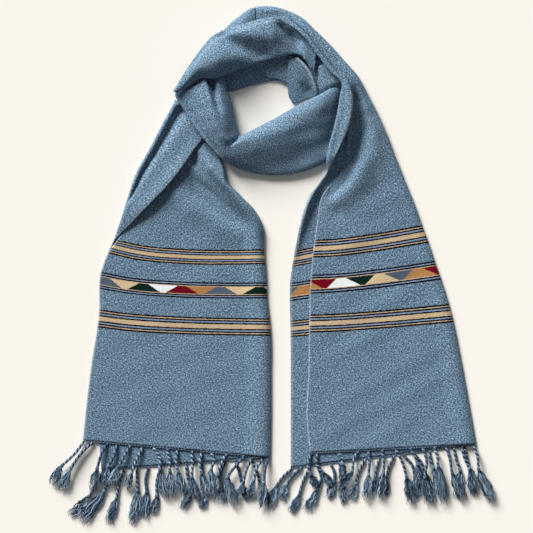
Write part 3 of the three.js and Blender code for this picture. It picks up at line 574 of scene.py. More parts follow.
def tail_knots(row):
    front = np.array([row["frontX"], row["frontY"], row["frontZ"]], float)
    fold = np.array([row["foldX"], row["foldY"], row["foldZ"]], float)
    back = np.array([row["backX"], row["backY"], row["backZ"]], float)
    lapel = np.array([row["lapelX"], row["lapelY"], row["lapelZ"]], float)
    bottom = np.array([fold[0], fold[1], HALF_CLOTH])
    width = np.hypot(*(fold - front)[:2])
    inset = 1 - (fold[2] - HALF_CLOTH) / 2 / width
    back_width = np.hypot(*(fold - back)[:2])
    turn = (lapel[2] - back[2]) / 2
    over = min(0.45, turn / max(1, np.hypot(*(lapel - back)[:2])))

    def across(t, z, sag):
        p = front + (fold - front) * t
        return [p[0], p[1] + row["sag"] * sag, z]

    def from_back(distance, z=None):
        p = back + (bottom - back) * distance / back_width
        return np.array([p[0], p[1], p[2] if z is None else z])

    def over_lapel(t, z):
        p = back + (lapel - back) * t
        return np.array([p[0], p[1], z])

    def blend(a, b, t):
        return a + (b - a) * t

    flat = [from_back(FLAT_MARGIN * t) for t in (1, 0.8, 0.6, 0.4, 0.2, 0)]
    turned = [
        from_back(turn),
        from_back(0.25 * turn, blend(back[2], lapel[2], 0.2)),
        np.array([back[0], back[1], blend(back[2], lapel[2], 0.5)]),
        over_lapel(0.3 * over, blend(back[2], lapel[2], 0.85)),
        over_lapel(blend(over, 1, 0.25), lapel[2]),
        lapel,
    ]
    return [
        across(0, front[2], 0),
        across(0.15, blend(front[2], row["midZ"], 0.6), 0.75),
        across(0.5, row["midZ"], 1),
        across(0.85, blend(row["midZ"], fold[2], 0.7), 0.35),
        across(inset, fold[2], 0),
        [fold[0], fold[1], blend(HALF_CLOTH, fold[2], 0.5)],
        across(inset, HALF_CLOTH, 0),
        bottom + (back - bottom) * 0.35,
        bottom + (back - bottom) * 0.7,
        *[blend(a, b, row["turned"]) for a, b in zip(flat, turned)],
    ]


print("a tail's section has", len(TAIL.split()), "measures")

# %% [markdown]
# The left tail lies lowest. Its lapel is broad, with a narrow rolled edge at the outline, a deep
# gutter inside it, and a selvedge that stands clear of the front and throws a soft shadow.

# %% The left tail
LEFT_TAIL = table(TAIL, [
    [0, -285.5, -262, 3.2, 0, 3.2, -5, -287.5, 3.4, -258, -306, 0.8, 0, 0, 0, 0.8],
    [60, -280, -207, 3.2, -2, 3.3, -4, -226, 3.6, -262, -245, 0.8, 0, 0, 0, 0.8],
    [120, -273, -150, 3.3, -3, 3.5, -4, -166, 4, -260, -185, 0.8, 0, 0, 0, 0.8],
    [180, -264, -93, 3.4, -4, 3.6, -4.3, -106, 4.4, -257, -115, 0.8, 0, 0, 0, 0.8],
    [207.5, -261, -66, 3.4, -4, 3.8, -6.5, -79.6, 4.8, -256, -82, 0.8, 0, 0, 0, 0.8],
    [238, -261, -35, 3.6, -6, 3.8, -10, -50, 5, -256, -45, 0.8, 0, 0, 0, 0.8],
    [267, -258.5, -9.6, 4, -6.5, 3.8, -10.7, -26, 5.4, -255, -14, 0.8, 0, 0, 0, 0.8],
    [292.5, -248, 18, 4.4, -8, 3.8, -12.8, 1.3, 6, -249, 16, 0.8, 0, 0, 0, 0.8],
    [320, -234, 38, 4.4, -6.5, 3.8, -14.3, 23.6, 6.6, -239, 41, 0.8, 0.6, -234, 40, 7],
    [345, -220, 59, 4.2, -5, 4, -15, 53, 7.4, -228.5, 67, 0.8, 1, -212, 65, 8.4],
    [375, -201, 88, 4, -3, 4.6, -26, 79, 8, -218.5, 99, 0.8, 1, -188, 89.5, 10],
    [410, -182, 118, 4, 0, 6.4, -50, 105, 8.6, -205.5, 137, 0.8, 1, -164.5, 113, 11],
    [440, -165, 145, 4, 2, 8.4, -68, 124, 9, -192.5, 161, 0.8, 1, -144, 137, 11.6],
    [465, -150, 166, 4, 3, 8.6, -72.5, 143, 8.6, -179, 186, 0.8, 1, -129, 158, 11.8],
    [490, -138, 187, 4, 3, 7.6, -80, 163, 7.6, -165, 213, 0.8, 1, -116, 177, 11.6],
    [520, -126, 210, 4, 2, 6.2, -94, 188, 6.2, -150.5, 239.5, 0.8, 1, -98, 199, 10.2],
    [545, -114, 232, 4, 2, 5.4, -80, 210, 5.4, -146.5, 248.5, 0.8, 1, -84, 219, 8.8],
])
print("the left tail has", len(LEFT_TAIL), "sections")

# %% [markdown]
# The creases of a tail are two lists, because the margin lies over the front: those of the front
# layer, and those of the lapel. Each row is a point of a trough or a ridge, with how far it
# reaches to its left and right and how high it stands, or how deep it goes, in millimetres.

# %% Creases of the left tail
LEFT_FRONT_CREASES = [
    table(CREASE, [
        [-130, 142, 8, 9, -2], [-112, 118, 9, 10, -7], [-88, 95, 11, 11, -7],
        [-56, 71, 12, 12, -4.5], [-28, 53, 12, 12, 0],
    ]),
    table(CREASE, [
        [-106, 168, 9, 9, 3], [-92, 145, 11, 8, 10], [-67, 117, 12, 9, 10.5], [-42, 85, 12, 10, 8],
        [-21, 56, 10, 10, 2],
    ]),
    table(CREASE, [
        [-148, 116, 11, 16, 2], [-120, 88, 12, 19, 6.5], [-82, 58, 13, 20, 5], [-44, 36, 13, 18, 0],
    ]),
    table(CREASE, [[-138, 146, 13, 13, -3], [-182, 98, 14, 14, -3], [-228, 44, 12, 12, -0.5]]),
    table(CREASE, [[-121.5, 169, 5, 5, -8], [-119.5, 161, 5, 5, -9], [-117, 153, 5, 5, -4]]),
]
LEFT_LAPEL_CREASES = [
    table(CREASE, [
        [-219, 92, 1.5, 3, -1], [-211, 108, 2, 4, -6], [-196, 141.5, 2.5, 6, -9.5],
        [-177, 173, 3, 8, -10.5], [-160, 203, 4, 10, -11], [-143, 232, 5, 12, -11],
    ]),
    table(CREASE, [
        [-214, 66, 8, 8, 0], [-189, 90, 11, 11, 4], [-164, 114, 13, 13, 5.5],
        [-144, 138, 13, 13, 5.5], [-129, 159, 11, 11, 4], [-116, 177, 10, 10, 2],
    ]),
]
print("creases on the front:", len(LEFT_FRONT_CREASES))
print("creases on the lapel:", len(LEFT_LAPEL_CREASES))

# %% [markdown]
# Both tails are built alike. The creases are pressed into the front and into the margin, and slow
# ripples run over the broad face. Then the front is kept a layer's height above the table,
# because the back layer lies below it, and the back layer is kept on the table.

# %% Build the left tail
TAIL_RIPPLES = (34, 47, 61, 83)  # mm from wave to wave


def tail_grid(rows, front_creases, margin_creases, spacing, seed, margin_from=LAPEL_KNOT):
    """The margin's creases act from the knot margin_from on."""
    grid = Grid(rows, tail_knots, spacing, across_from=FOLD_KNOT)
    columns = np.arange(grid.points.shape[1])
    front = np.where(columns < grid.starts[FOLD_KNOT] - 1, 1.0, 0.0)
    margin = np.where(columns > grid.starts[margin_from], 1.0, 0.0)
    broad = np.sin(np.pi * np.clip(columns / grid.starts[FOLD_KNOT], 0, 1)) ** 0.5 * front
    press(grid, front_creases, front)
    press(grid, margin_creases, margin)
    ripple(grid, broad, height=0.9, lengths=TAIL_RIPPLES, seed=seed)
    lowest = np.where(front > 0, NEXT_LAYER, HALF_CLOTH)
    grid.points[..., 2] = np.maximum(grid.points[..., 2], lowest)
    return grid


left_grid = tail_grid(LEFT_TAIL, LEFT_FRONT_CREASES, LEFT_LAPEL_CREASES, spacing=3.0, seed=3)
left_tail = cloth_object("left_tail_cloth", left_grid)
print("left tail grid", left_grid.points.shape)

# %% [markdown]
# The right tail comes over the nape as a narrow folded strip and opens out as it comes down. Along
# its inner edge the back layer's margin is turned over too, as a strip with its selvedge in view,
# and a deep valley lies beside it.

# %% The right tail
RIGHT_TAIL = table(TAIL, [
    [0, 54.7, -281, 3.2, 0, 3.2, 303.4, -268, 3.4, 26, -303.4, 0.8, 0, 0, 0, 0.8],
    [60, 49.5, -222, 3.2, -1, 3.3, 292.5, -207, 3.6, 26, -240, 0.8, 0, 0, 0, 0.8],
    [120, 52.5, -162, 3.3, -1, 3.5, 281.5, -147, 4, 26, -176, 0.8, 0, 0, 0, 0.8],
    [180, 53.4, -101, 3.4, -1.7, 3.8, 269.3, -85.6, 4.4, 25.8, -108, 0.8, 0, 0, 0, 0.8],
    [207.5, 54.3, -73.6, 3.4, -2, 4, 262.3, -57.9, 4.6, 25.3, -83, 0.8, 0, 0, 0, 0.8],
    [238, 54.3, -42.8, 3.4, -2.5, 4.2, 251, -21.7, 4.8, 24.5, -54, 0.8, 0, 0, 0, 0.8],
    [267, 56.5, -13.7, 3.6, -3, 4.4, 241, 6.4, 5, 25, -26.5, 0.8, 0, 0, 0, 0.8],
    [292.5, 58.5, 11.4, 3.8, -3, 4.6, 232, 33.5, 5.2, 28, -2.5, 0.8, 0, 0, 0, 0.8],
    [320, 62, 38.6, 4, -3, 5, 222, 60.2, 5.4, 32.5, 22, 0.8, 0, 0, 0, 0.8],
    [350, 66, 68, 4.4, -3, 6, 210, 94, 5.8, 39, 55, 0.8, 0, 0, 0, 0.8],
    [380, 71, 99, 5, -3, 7.4, 196, 128, 6.4, 48, 88, 0.8, 0, 0, 0, 0.8],
    [400, 79, 113, 5.4, -2, 9, 187.5, 150, 7, 57, 108, 1.2, 0, 0, 0, 1.2],
    [420, 93, 129, 7, -2, 11, 180, 168, 7.6, 69.5, 124, 2.4, 0.1, 75, 128, 5],
    [440, 102, 147, 9, -2, 13, 172, 190, 8.4, 80.5, 139, 4.4, 0.8, 84, 145, 14],
    [458, 107, 164, 11.5, -2, 14.6, 167, 202, 9, 80, 157, 9, 1, 92, 162, 20],
    [480, 110, 183, 14.5, -2, 16, 160, 218, 9.6, 83.5, 178, 14, 1, 101, 180, 21.5],
    [505, 112, 206, 17, -2, 17, 151.4, 236, 10.4, 90, 202, 17, 1, 110.5, 201, 24.5],
    [533, 111, 232, 19.2, 0, 17.6, 141, 256, 11, 96.5, 230, 18.6, 1, 117, 226, 26],
    [556, 109, 253, 21, 0, 18, 133, 272, 11, 100, 253, 18.8, 1, 118.5, 250, 26],
    [574, 107, 272, 21.6, 0, 18.4, 126, 284, 11, 103, 271.5, 18.8, 1, 113, 273, 25.6],
    [600, 92, 293, 21, 0, 18, 110, 302, 10.6, 86, 289, 18, 1, 98, 296, 24.8],
    [634, 71, 320, 20, 0, 17, 86, 329, 10, 65.5, 316.5, 17, 1, 77, 323.5, 23.8],
    [670, 50, 350.5, 18, 0, 15.4, 58, 356.5, 9, 43, 345, 14, 1, 52.5, 352.5, 21.4],
    [686, 38, 364, 14.6, 0, 13, 43.5, 370, 8.4, 31, 355, 10, 1, 40, 365.5, 17.6],
    [699, 26, 370.5, 11, 0, 10.6, 28, 378.5, 8, 21, 359.5, 7, 1, 26.5, 372, 13.6],
    [719, 5, 364, 7.6, 0, 8.6, 4, 386.5, 7.4, 5, 359.5, 4.4, 1, 4.5, 371, 10.4],
    [748, -24.5, 359, 7, 0, 8, -26.5, 387.5, 7, -24, 353, 4, 1, -25, 368, 10],
])
print("the right tail has", len(RIGHT_TAIL), "sections")

# %% [markdown]
# The first crease of the front is the deep valley beside the strip. The first of the margin lifts
# the strip's foot, and the last is the thin dark line that runs along it above the throat band.

# %% Creases of the right tail
RIGHT_FRONT_CREASES = [
    table(CREASE, [
        [122, 262, 7, 6, -3], [125, 246, 8, 8, -12], [130, 203, 10, 10, -15],
        [118, 160, 11, 12, -14], [104, 130, 11, 10, -10], [88, 108, 9, 8, -5], [78, 96, 7, 7, 0],
    ]),
    table(CREASE, [[68, 94, 14, 14, -1], [96, 80, 15, 15, -3], [130, 62, 16, 16, 0]]),
    table(CREASE, [
        [78, 84, 10, 16, 1], [100, 100, 11, 20, 3.5], [126, 128, 12, 20, 5], [148, 168, 12, 15, 4],
        [156, 204, 9, 9, 1],
    ]),
    table(CREASE, [
        [148, 214, 8, 8, 2], [166, 150, 12, 14, 3.5], [188, 92, 14, 18, 2.5], [204, 40, 16, 18, 0],
    ]),
]
RIGHT_MARGIN_CREASES = [
    table(CREASE, [
        [76, 132, 5, 6, 3], [62, 112, 5, 6, 9], [52, 92, 5, 6, 10], [45, 70, 5, 6, 8.5],
        [39, 46, 5, 7, 5], [32, 8, 5, 7, 1],
    ]),
    table(CREASE, [
        [96, 162, 5, 5, 1], [104, 190, 5, 5, 4], [114, 224, 5, 5, 4], [114, 258, 5, 5, 3],
        [104, 284, 5, 5, 1],
    ]),
    table(CREASE, [
        [26, 367, 2, 2, -2], [49, 347, 2.5, 2.5, -5], [69.5, 319, 2.5, 2.5, -5.5],
        [91, 292, 2.5, 2.5, -5], [105, 274, 2, 2, -1],
    ]),
]
print("creases on the front:", len(RIGHT_FRONT_CREASES))
print("creases on the strip:", len(RIGHT_MARGIN_CREASES))

# %% [markdown]
# The right tail's strip shows its pale selvedge line, partly painted highlight, twice as broad as
# the other cloths do. The front's own selvedge goes below the strip, and the strip's is tucked out
# of sight above the throat band. A pale line there would be wrong, so the distance from a selvedge
# is made too large to draw one.

# %% Build the right tail
STRIP_STARTS = 412  # mm up the cloth, where the front's own selvedge goes below the strip
STRIP_TURNS = 566  # mm up the cloth, above which the strip's selvedge is tucked out of sight
NO_SELVEDGE = 100.0  # mm
right_grid = tail_grid(
    RIGHT_TAIL, RIGHT_FRONT_CREASES, RIGHT_MARGIN_CREASES,
    spacing=3.2, seed=8, margin_from=BACK_KNOT)
on_margin = np.arange(right_grid.points.shape[1]) > right_grid.starts[LAPEL_KNOT]
# Halving the distance draws the strip's pale line, partly painted highlight, twice as broad.
right_grid.selvedge[:, on_margin] *= 0.5
right_grid.selvedge[(right_grid.along > STRIP_STARTS) & ~on_margin] = NO_SELVEDGE
right_grid.selvedge[right_grid.along > STRIP_TURNS] = NO_SELVEDGE
right_tail = cloth_object("right_tail_cloth", right_grid)
print("right tail grid", right_grid.points.shape)

# %% [markdown]
# Between the tails the muffler is gathered into two rolls. The throat band crosses the front of
# the neck, and the nape roll goes round the back. Only the outside of a roll shows, so its cloth
# is drawn as one wrapped sheet: up from the neck hole, over the ridge, down to the outer edge
# where one folded layer looks out from below the other, and back underneath.

# %% The section of a roll
ROLL = """along innerX innerY innerZ innerLowZ ridgeX ridgeY ridgeZ
  outerX outerY outerTopZ outerLowZ underZ"""
LIP = 1.8  # mm that the lower folded layer stands out beyond the crevice
INWARDS = 1.0  # the faces of a roll point to its inside, so this way Solidify grows inwards
INNER_KNOT, CREVICE_KNOT = 1, 7  # the knots that the upper face of a roll lies between
SOFT_ENDS = 6  # columns of the grid over which a crease fades at both edges of that face
ROLL_SPACING = 1.9  # mm between points of the grid
ON_THE_TABLE = 0.02  # mm, so that the underside isn't in the table's own plane
ROLL_RIPPLES = (21, 33, 46, 64)  # mm from wave to wave


def roll_knots(row):
    inner = np.array([row["innerX"], row["innerY"], row["innerZ"]], float)
    ridge = np.array([row["ridgeX"], row["ridgeY"], row["ridgeZ"]], float)
    outer = np.array([row["outerX"], row["outerY"], row["outerTopZ"]], float)
    width = np.hypot(*(ridge - outer)[:2])
    top, low = row["outerTopZ"], row["outerLowZ"]

    def step(distance, z):
        p = outer + (ridge - outer) * distance / width
        return [p[0], p[1], z]

    def between(t, z):
        p = inner + (outer - inner) * t
        return [p[0], p[1], z]

    def up(share):
        return top + (row["ridgeZ"] - top) * share

    rise = inner + (ridge - inner) * 0.4
    return [
        between(0.07, row["innerLowZ"]),
        inner,
        [rise[0], rise[1], row["innerZ"] + (row["ridgeZ"] - row["innerZ"]) * 0.66],
        ridge,
        step(width * 0.68, up(0.93)),
        step(width * 0.34, up(0.62)),
        step((top - low) * 0.35, up(0.06)),
        step(0, low + (top - low) * 0.775),
        step(LIP, (top + low) / 2),
        step(0, low + (top - low) * 0.25),
        step((top - low) * 0.3, low),
        between(0.5, row["underZ"]),
        between(0.1, row["innerLowZ"]),
    ]


def roll_grid(rows, creases, seed):
    grid = Grid(rows, roll_knots, ROLL_SPACING)
    grid.selvedge[:] = NO_SELVEDGE
    columns = np.arange(grid.points.shape[1])
    inner, outer = grid.starts[INNER_KNOT], grid.starts[CREVICE_KNOT]
    after_inner = np.clip((columns - inner) / SOFT_ENDS, 0, 1)
    rise = after_inner * np.clip((outer - columns) / SOFT_ENDS, 0, 1)
    press(grid, creases, rise)
    ripple(grid, rise, height=0.8, lengths=ROLL_RIPPLES, seed=seed)
    above_the_lower_face = NEXT_LAYER + HALF_CLOTH
    lowest = np.where(rise > 0, above_the_lower_face, ON_THE_TABLE)
    grid.points[..., 2] = np.maximum(grid.points[..., 2], lowest)
    return grid


print("a roll's section has", len(ROLL.split()), "measures")

# %% [markdown]
# The throat band's upper left end is where the cloth doubles back. Its front face ends there in a
# soft point, and a pleat behind it shows as a second layer beyond a short black slit.

# %% The throat band
THROAT = table(ROLL, [
    [0, 104, 273, 8, 2, 103, 262, 12, 84, 158, 5, 1, 0],
    [20, 91, 268, 9, 1, 90, 257, 14, 72, 151, 7, 0, 0],
    [45, 73, 258, 11, 0.4, 72, 247, 20, 58, 145, 9, 0, 0],
    [85, 38, 241, 12, 0, 37, 228, 24, 38, 139, 9, 0, 0],
    [125, 2.5, 220.5, 13, 0, 1, 208, 26, 12, 135.5, 9, 0, 0],
    [155, -27.5, 205, 13, 0, -29, 194, 27, -14, 136, 9, 0, 0],
    [180, -49, 194.5, 12, 0, -50, 187, 27.5, -38, 140, 10, 1, 0],
    [197, -51.5, 197, 8, 0, -62, 182, 28, -57, 147, 14, 6, 2],
    [212, -55, 208, 6, 0, -68, 192, 29.5, -75, 158, 20, 12, 7],
    [235, -59, 226, 6, 0, -72.5, 209, 31, -92, 175, 22.5, 14.5, 10],
    [258, -63, 245, 6, 0.5, -78, 227, 31.5, -108, 194, 23.5, 15, 11.5],
    [276, -68, 260, 8, 3, -84, 243, 30, -121, 212, 22.5, 15, 12],
    [290, -71, 272, 11, 6, -90, 254, 28, -131, 228, 21, 12.5, 10],
    [304, -74, 282, 13, 6, -98, 266, 26.4, -140, 242, 20.8, 10.5, 8],
    [320, -82, 290, 13, 5, -108, 278, 23.1, -147, 255, 20.3, 8.5, 6],
    [334, -92, 298, 12, 4, -116, 289, 19.1, -143, 270, 17.5, 7, 5],
])
print("the throat band has", len(THROAT), "sections")

# %% [markdown]
# The second of these creases is the short black slit. It is the steepest one, and it is cut
# into the face where the pleat comes out from behind. The next to last sinks the band's right end
# below the strip.

# %% Creases of the throat band
THROAT_CREASES = [
    table(CREASE, [
        [-153, 253, 4, 4, -3], [-140, 262, 4, 4, -5], [-122, 272, 4, 4, -6], [-106, 281, 4, 4, -6],
    ]),
    table(CREASE, [
        [-98, 286, 6.5, 3.4, -20], [-95, 275, 6.5, 3.4, -21], [-91, 264, 5.5, 3.4, -17],
        [-87, 250, 4.5, 4, -9], [-80, 228, 5, 5, -2],
    ]),
    table(CREASE, [
        [-104, 280, 3, 7, 2.5], [-97, 266, 3, 7, 3], [-91, 250, 4, 8, 2.5], [-84, 226, 4, 8, 1.5],
    ]),
    table(CREASE, [[-66.5, 180.5, 4, 3, -3], [-60, 185, 3.5, 3, -7], [-52, 190, 3.5, 3.5, -6]]),
    table(CREASE, [
        [-116, 266, 9, 9, 3], [-102, 244, 10, 10, 6], [-86, 208, 10, 9, 5.5], [-74, 184, 9, 8, 1],
    ]),
    table(CREASE, [
        [-142, 252, 8, 8, -3], [-124, 222, 9, 10, -5], [-103, 184, 9, 10, -5], [-84, 164, 9, 9, -1],
    ]),
    table(CREASE, [[-84, 212, 6, 6, 1], [-76, 193, 6, 5, 3.5], [-67, 183, 5, 5, 2]]),
    table(CREASE, [[70, 226, 12, 12, 1], [20, 200, 14, 13, 3], [-24, 182, 12, 12, 2]]),
    table(CREASE, [
        [106, 266, 6, 8, -5], [100, 240, 6, 8, -8], [92, 208, 6, 8, -6], [83, 176, 6, 8, -2],
    ]),
    table(CREASE, [[84, 180, 16, 14, -2], [34, 158, 16, 14, -4], [-24, 152, 14, 14, -2]]),
]
throat_grid = roll_grid(THROAT, THROAT_CREASES, seed=21)
throat = cloth_object("throat_band_cloth", throat_grid, offset=INWARDS)
print("throat band grid", throat_grid.points.shape)

# %% [markdown]
# The nape roll lies over the band's end and is the highest part. One long soft trough runs down
# its face, and at its right end it sinks into a dark hollow beside the strip.

# %% The nape roll
NAPE = table(ROLL, [
    [0, -144, 258, 21, 20, -147.5, 259.5, 26, -150, 261, 25, 21, 21.5],
    [14, -135, 263, 21.5, 20, -138, 266.5, 30, -143.5, 271, 27, 20, 21.5],
    [32, -123, 270, 22.5, 20.5, -127, 278, 34, -134.5, 286, 27, 18.5, 22],
    [56, -108, 280, 23.5, 21.5, -112, 294, 37, -122, 305.5, 24, 13, 21],
    [80, -92, 279, 23, 18, -96, 300, 38, -110, 322, 22, 10, 16],
    [104, -74, 284, 22, 12, -80, 310, 38, -95, 340, 21, 7, 11],
    [128, -55, 292, 22, 8, -61, 322, 37, -78, 351, 23, 10, 9],
    [155, -35, 298, 19, 7, -42, 334, 35, -52, 359, 26, 11, 8],
    [184, -11, 306.5, 19, 7.5, -17, 346, 33, -21, 368, 26, 12, 8],
    [206, 8.5, 311, 19, 9, 5, 354, 29, 5.5, 371, 23.5, 13, 9.5],
    [222, 23.5, 315, 18.5, 9, 20, 352, 24, 20, 362.5, 19, 9, 6],
    [238, 36, 316.5, 17.5, 9, 32, 347, 17.5, 33, 356.5, 13, 6, 5],
    [256, 46, 311, 15, 12.5, 42, 340, 14.4, 46, 349.5, 11.5, 7, 10],
    [276, 54, 301, 13, 11.5, 52, 327, 14, 57.6, 334.9, 11.5, 7, 9.5],
    [296, 60, 290, 12, 10.8, 62, 309, 13.4, 66.6, 317.4, 11.5, 8, 9.5],
])
print("the nape roll has", len(NAPE), "sections")

# %% [markdown]
# The first crease is the long trough, and the third is the hollow.

# %% Creases of the nape roll
NAPE_CREASES = [
    table(CREASE, [
        [-86, 349, 9, 8, -2], [-70, 336, 11, 9, -8], [-57, 329, 12, 10, -10],
        [-38, 323, 13, 11, -10], [-18, 316, 12, 11, -6], [2, 311, 10, 10, -1],
    ]),
    table(CREASE, [[-104, 312, 12, 12, 1], [-82, 306, 12, 12, 3], [-58, 304, 10, 10, 2]]),
    table(CREASE, [
        [2, 366, 7, 5, -2], [13, 356, 9, 6, -12], [24, 344, 10, 7, -15], [38, 330, 9, 7, -10],
        [52, 313, 7, 6, -7], [61, 299, 6, 6, -4],
    ]),
    table(CREASE, [[-62, 352, 9, 8, 2], [-34, 345, 12, 10, 3], [-4, 340, 12, 9, 2]]),
]
nape_grid = roll_grid(NAPE, NAPE_CREASES, seed=34)
nape = cloth_object("nape_roll_cloth", nape_grid, offset=INWARDS)
print("nape roll grid", nape_grid.points.shape)

# %% [markdown]
# The remaining stretches are plain layers with two edges and a slight crown: the layer behind the
# nape roll, the two layers of the inner turn behind the neck hole, the fold of it that comes
# forward, whose rolled selvedge shows with a pale line that is partly painted highlight, and its
# end beside the strip.

# %% The section of a plain layer
LAYER = "along innerX innerY innerZ outerX outerY outerZ crown"
LAYER_RIPPLES = (19, 27, 41)  # mm from wave to wave


def layer_knots(row):
    inner = np.array([row["innerX"], row["innerY"], row["innerZ"]], float)
    outer = np.array([row["outerX"], row["outerY"], row["outerZ"]], float)
    rise = np.array([0, 0, row["crown"]])
    crown = ((0, 0), (0.18, 0.62), (0.5, 1), (0.82, 0.62), (1, 0))
    return [inner + (outer - inner) * t + rise * share for t, share in crown]


def layer_grid(rows, spacing, seed, creases=(), height=0.3):
    grid = Grid(rows, layer_knots, spacing)
    grid.selvedge = grid.across[:, -1:] - grid.across
    columns = np.linspace(0, 1, grid.points.shape[1])
    press(grid, creases, np.ones(len(columns)))
    ripple(grid, np.sin(np.pi * columns), height=height, lengths=LAYER_RIPPLES, seed=seed)
    grid.points[..., 2] = np.maximum(grid.points[..., 2], HALF_CLOTH)
    return grid


print("a plain layer's section has", len(LAYER.split()), "measures")

# %% [markdown]
# The five layers are small, and most of each is hidden. The four of the inner turn come first, and
# the layer behind the nape roll comes last.

# %% The plain layers
INNER_LOWER = table(LAYER, [
    [0, -76, 268, 0.8, -88, 296, 3, 2],
    [14, -65, 260.8, 0.8, -68, 302, 4, 3],
    [30, -50, 264.5, 0.8, -50, 309, 5, 3],
    [46, -35, 269, 0.8, -35, 320, 5, 3],
    [60, -23, 272, 0.8, -23, 330, 5, 3],
    [84, 2.5, 277, 0.8, 6, 346, 4.4, 2],
    [106, 26, 274, 0.8, 42, 348, 5.4, 2],
    [124, 42, 268, 0.8, 76, 322, 3.6, 1.5],
    [134, 50, 265, 0.8, 84, 294, 3.4, 1],
])
INNER_UPPER = table(LAYER, [
    [0, -6, 279.5, 4.5, -28, 300, 8.6, 0.6],
    [10, 3, 280, 4.6, -12, 312, 9.6, 0.8],
    [24, 14, 276, 4.6, 6, 318, 9.8, 0.8],
    [38, 26, 270, 4.4, 30, 312, 9.2, 0.6],
])
INNER_FOLD = table(LAYER, [
    [0, 24, 309, 13.6, 37, 311, 13.4, 0],
    [12, 22, 299, 12.2, 47, 301, 12, 1.4],
    [26, 21.7, 287, 10.2, 56, 288.5, 10, 2.8],
    [40, 21.7, 275, 8, 61.5, 276.5, 8, 3.4],
    [54, 22, 262, 5.8, 65, 265, 6.4, 3],
    [66, 24, 251.5, 4, 66, 258.5, 5.4, 2.2],
    [74, 30, 242, 2.8, 62.4, 254.6, 4.6, 1.4],
])
INNER_END = table(LAYER, [
    [-8, 66, 250, 0.9, 103, 266, 5, 0],
    [0, 62, 258.2, 1.2, 101.5, 275.5, 16.4, 1],
    [12, 61.5, 268.5, 1.4, 93, 284, 16, 1.6],
    [25, 64.4, 284, 3, 84, 292.5, 15, 1.4],
    [38, 66, 297, 4, 76, 302, 13.6, 0.6],
])
NAPE_BACK = table(LAYER, [
    [0, -62, 330, 1.6, -80, 346, 2.6, 5],
    [22, -54, 338, 2, -66, 361.5, 2.4, 7],
    [44, -44, 345, 2, -50, 374.5, 2, 8],
    [62, -35, 350, 1.6, -37, 384, 1.6, 5],
    [74, -25.8, 351, 1, -26.9, 387.5, 1, 2],
])
print("the inner turn's lower layer has", len(INNER_LOWER), "sections")

# %% [markdown]
# The fold of the inner turn has a dimple in its face and a rolled selvedge, which is a ridge along
# its outer edge. The last three numbers of each row are its flat cut: width and length in metres,
# and area in square metres.

# %% Build the plain layers
DIMPLE = table(CREASE, [[47, 268, 7, 7, -3], [52, 262, 7, 7, -5.5], [56, 257, 6, 6, -4]])
ROLLED_SELVEDGE = table(CREASE, [
    [37, 311, 3, 3, 1.5], [46, 301, 3, 3, 3.4], [54.5, 289, 3, 3, 4.4],
    [60, 276, 3, 3, 4.6], [63, 265, 3, 3, 4], [64, 258, 3, 3, 2.5],
])
FOLD_CREASES = (DIMPLE, ROLLED_SELVEDGE)
LAYERS = [
    ("nape_back_layer", layer_grid(NAPE_BACK, spacing=2.0, seed=45),
     "right_tail_cloth", (0.04, 0.075, 0.0022)),
    ("inner_turn_lower_layer", layer_grid(INNER_LOWER, spacing=2.0, seed=41),
     "right_tail_cloth", (0.085, 0.135, 0.0085)),
    ("inner_turn_upper_layer", layer_grid(INNER_UPPER, spacing=2.0, seed=42, height=0.2),
     "inner_turn_lower_layer_cloth", (0.045, 0.04, 0.0016)),
    ("inner_turn_fold", layer_grid(INNER_FOLD, spacing=1.4, seed=43, creases=FOLD_CREASES),
     "inner_turn_upper_layer_cloth", (0.045, 0.075, 0.0027)),
    ("inner_turn_end", layer_grid(INNER_END, spacing=2.0, seed=44, height=0.2),
     "inner_turn_lower_layer_cloth", (0.05, 0.045, 0.0016)),
]
layers = [cloth_object(node + "_cloth", grid) for node, grid, _, _ in LAYERS]
print("plain layers:", [layer.name for layer in layers])

# %% [markdown]
# A fringe is the ends of the warp. They were twisted into cords, each cord was knotted, and below
# the knot the wool has frayed into a soft tuft. Each cord is drawn with two plies. Plies, knot and
# fibres are all thin tubes, so one function makes many tubes at once.

# %% Tubes from paths
LOWEST_WOOL = 0.05  # mm above the table


def tubes(paths, radii, sides):
    """paths is (count, points, 3) in mm and radii is (count, points).

    Gives the vertices, the quads, the end caps and the number of vertices in one tube.
    """
    paths = np.asarray(paths, float)
    count, length = paths.shape[:2]
    ahead = np.gradient(paths, axis=1)
    ahead /= np.maximum(1e-9, np.linalg.norm(ahead, axis=2, keepdims=True))
    aside = np.cross(ahead, [0.05, 0.02, 1.0])
    aside /= np.maximum(1e-9, np.linalg.norm(aside, axis=2, keepdims=True))
    up = np.cross(aside, ahead)
    turn = 2 * math.pi * np.arange(sides) / sides
    ring = aside[:, :, None] * np.cos(turn)[:, None] + up[:, :, None] * np.sin(turn)[:, None]
    verts = paths[:, :, None] + ring * np.asarray(radii)[:, :, None, None]
    index = np.arange(count * length * sides).reshape(count, length, sides)
    following = np.roll(index, -1, axis=2)
    quads = np.stack([index[:, :-1], index[:, 1:], following[:, 1:], following[:, :-1]], axis=-1)
    caps = np.concatenate([index[:, 0], index[:, -1, ::-1]])
    return verts.reshape(-1, 3), quads.reshape(-1, 4), caps, length * sides


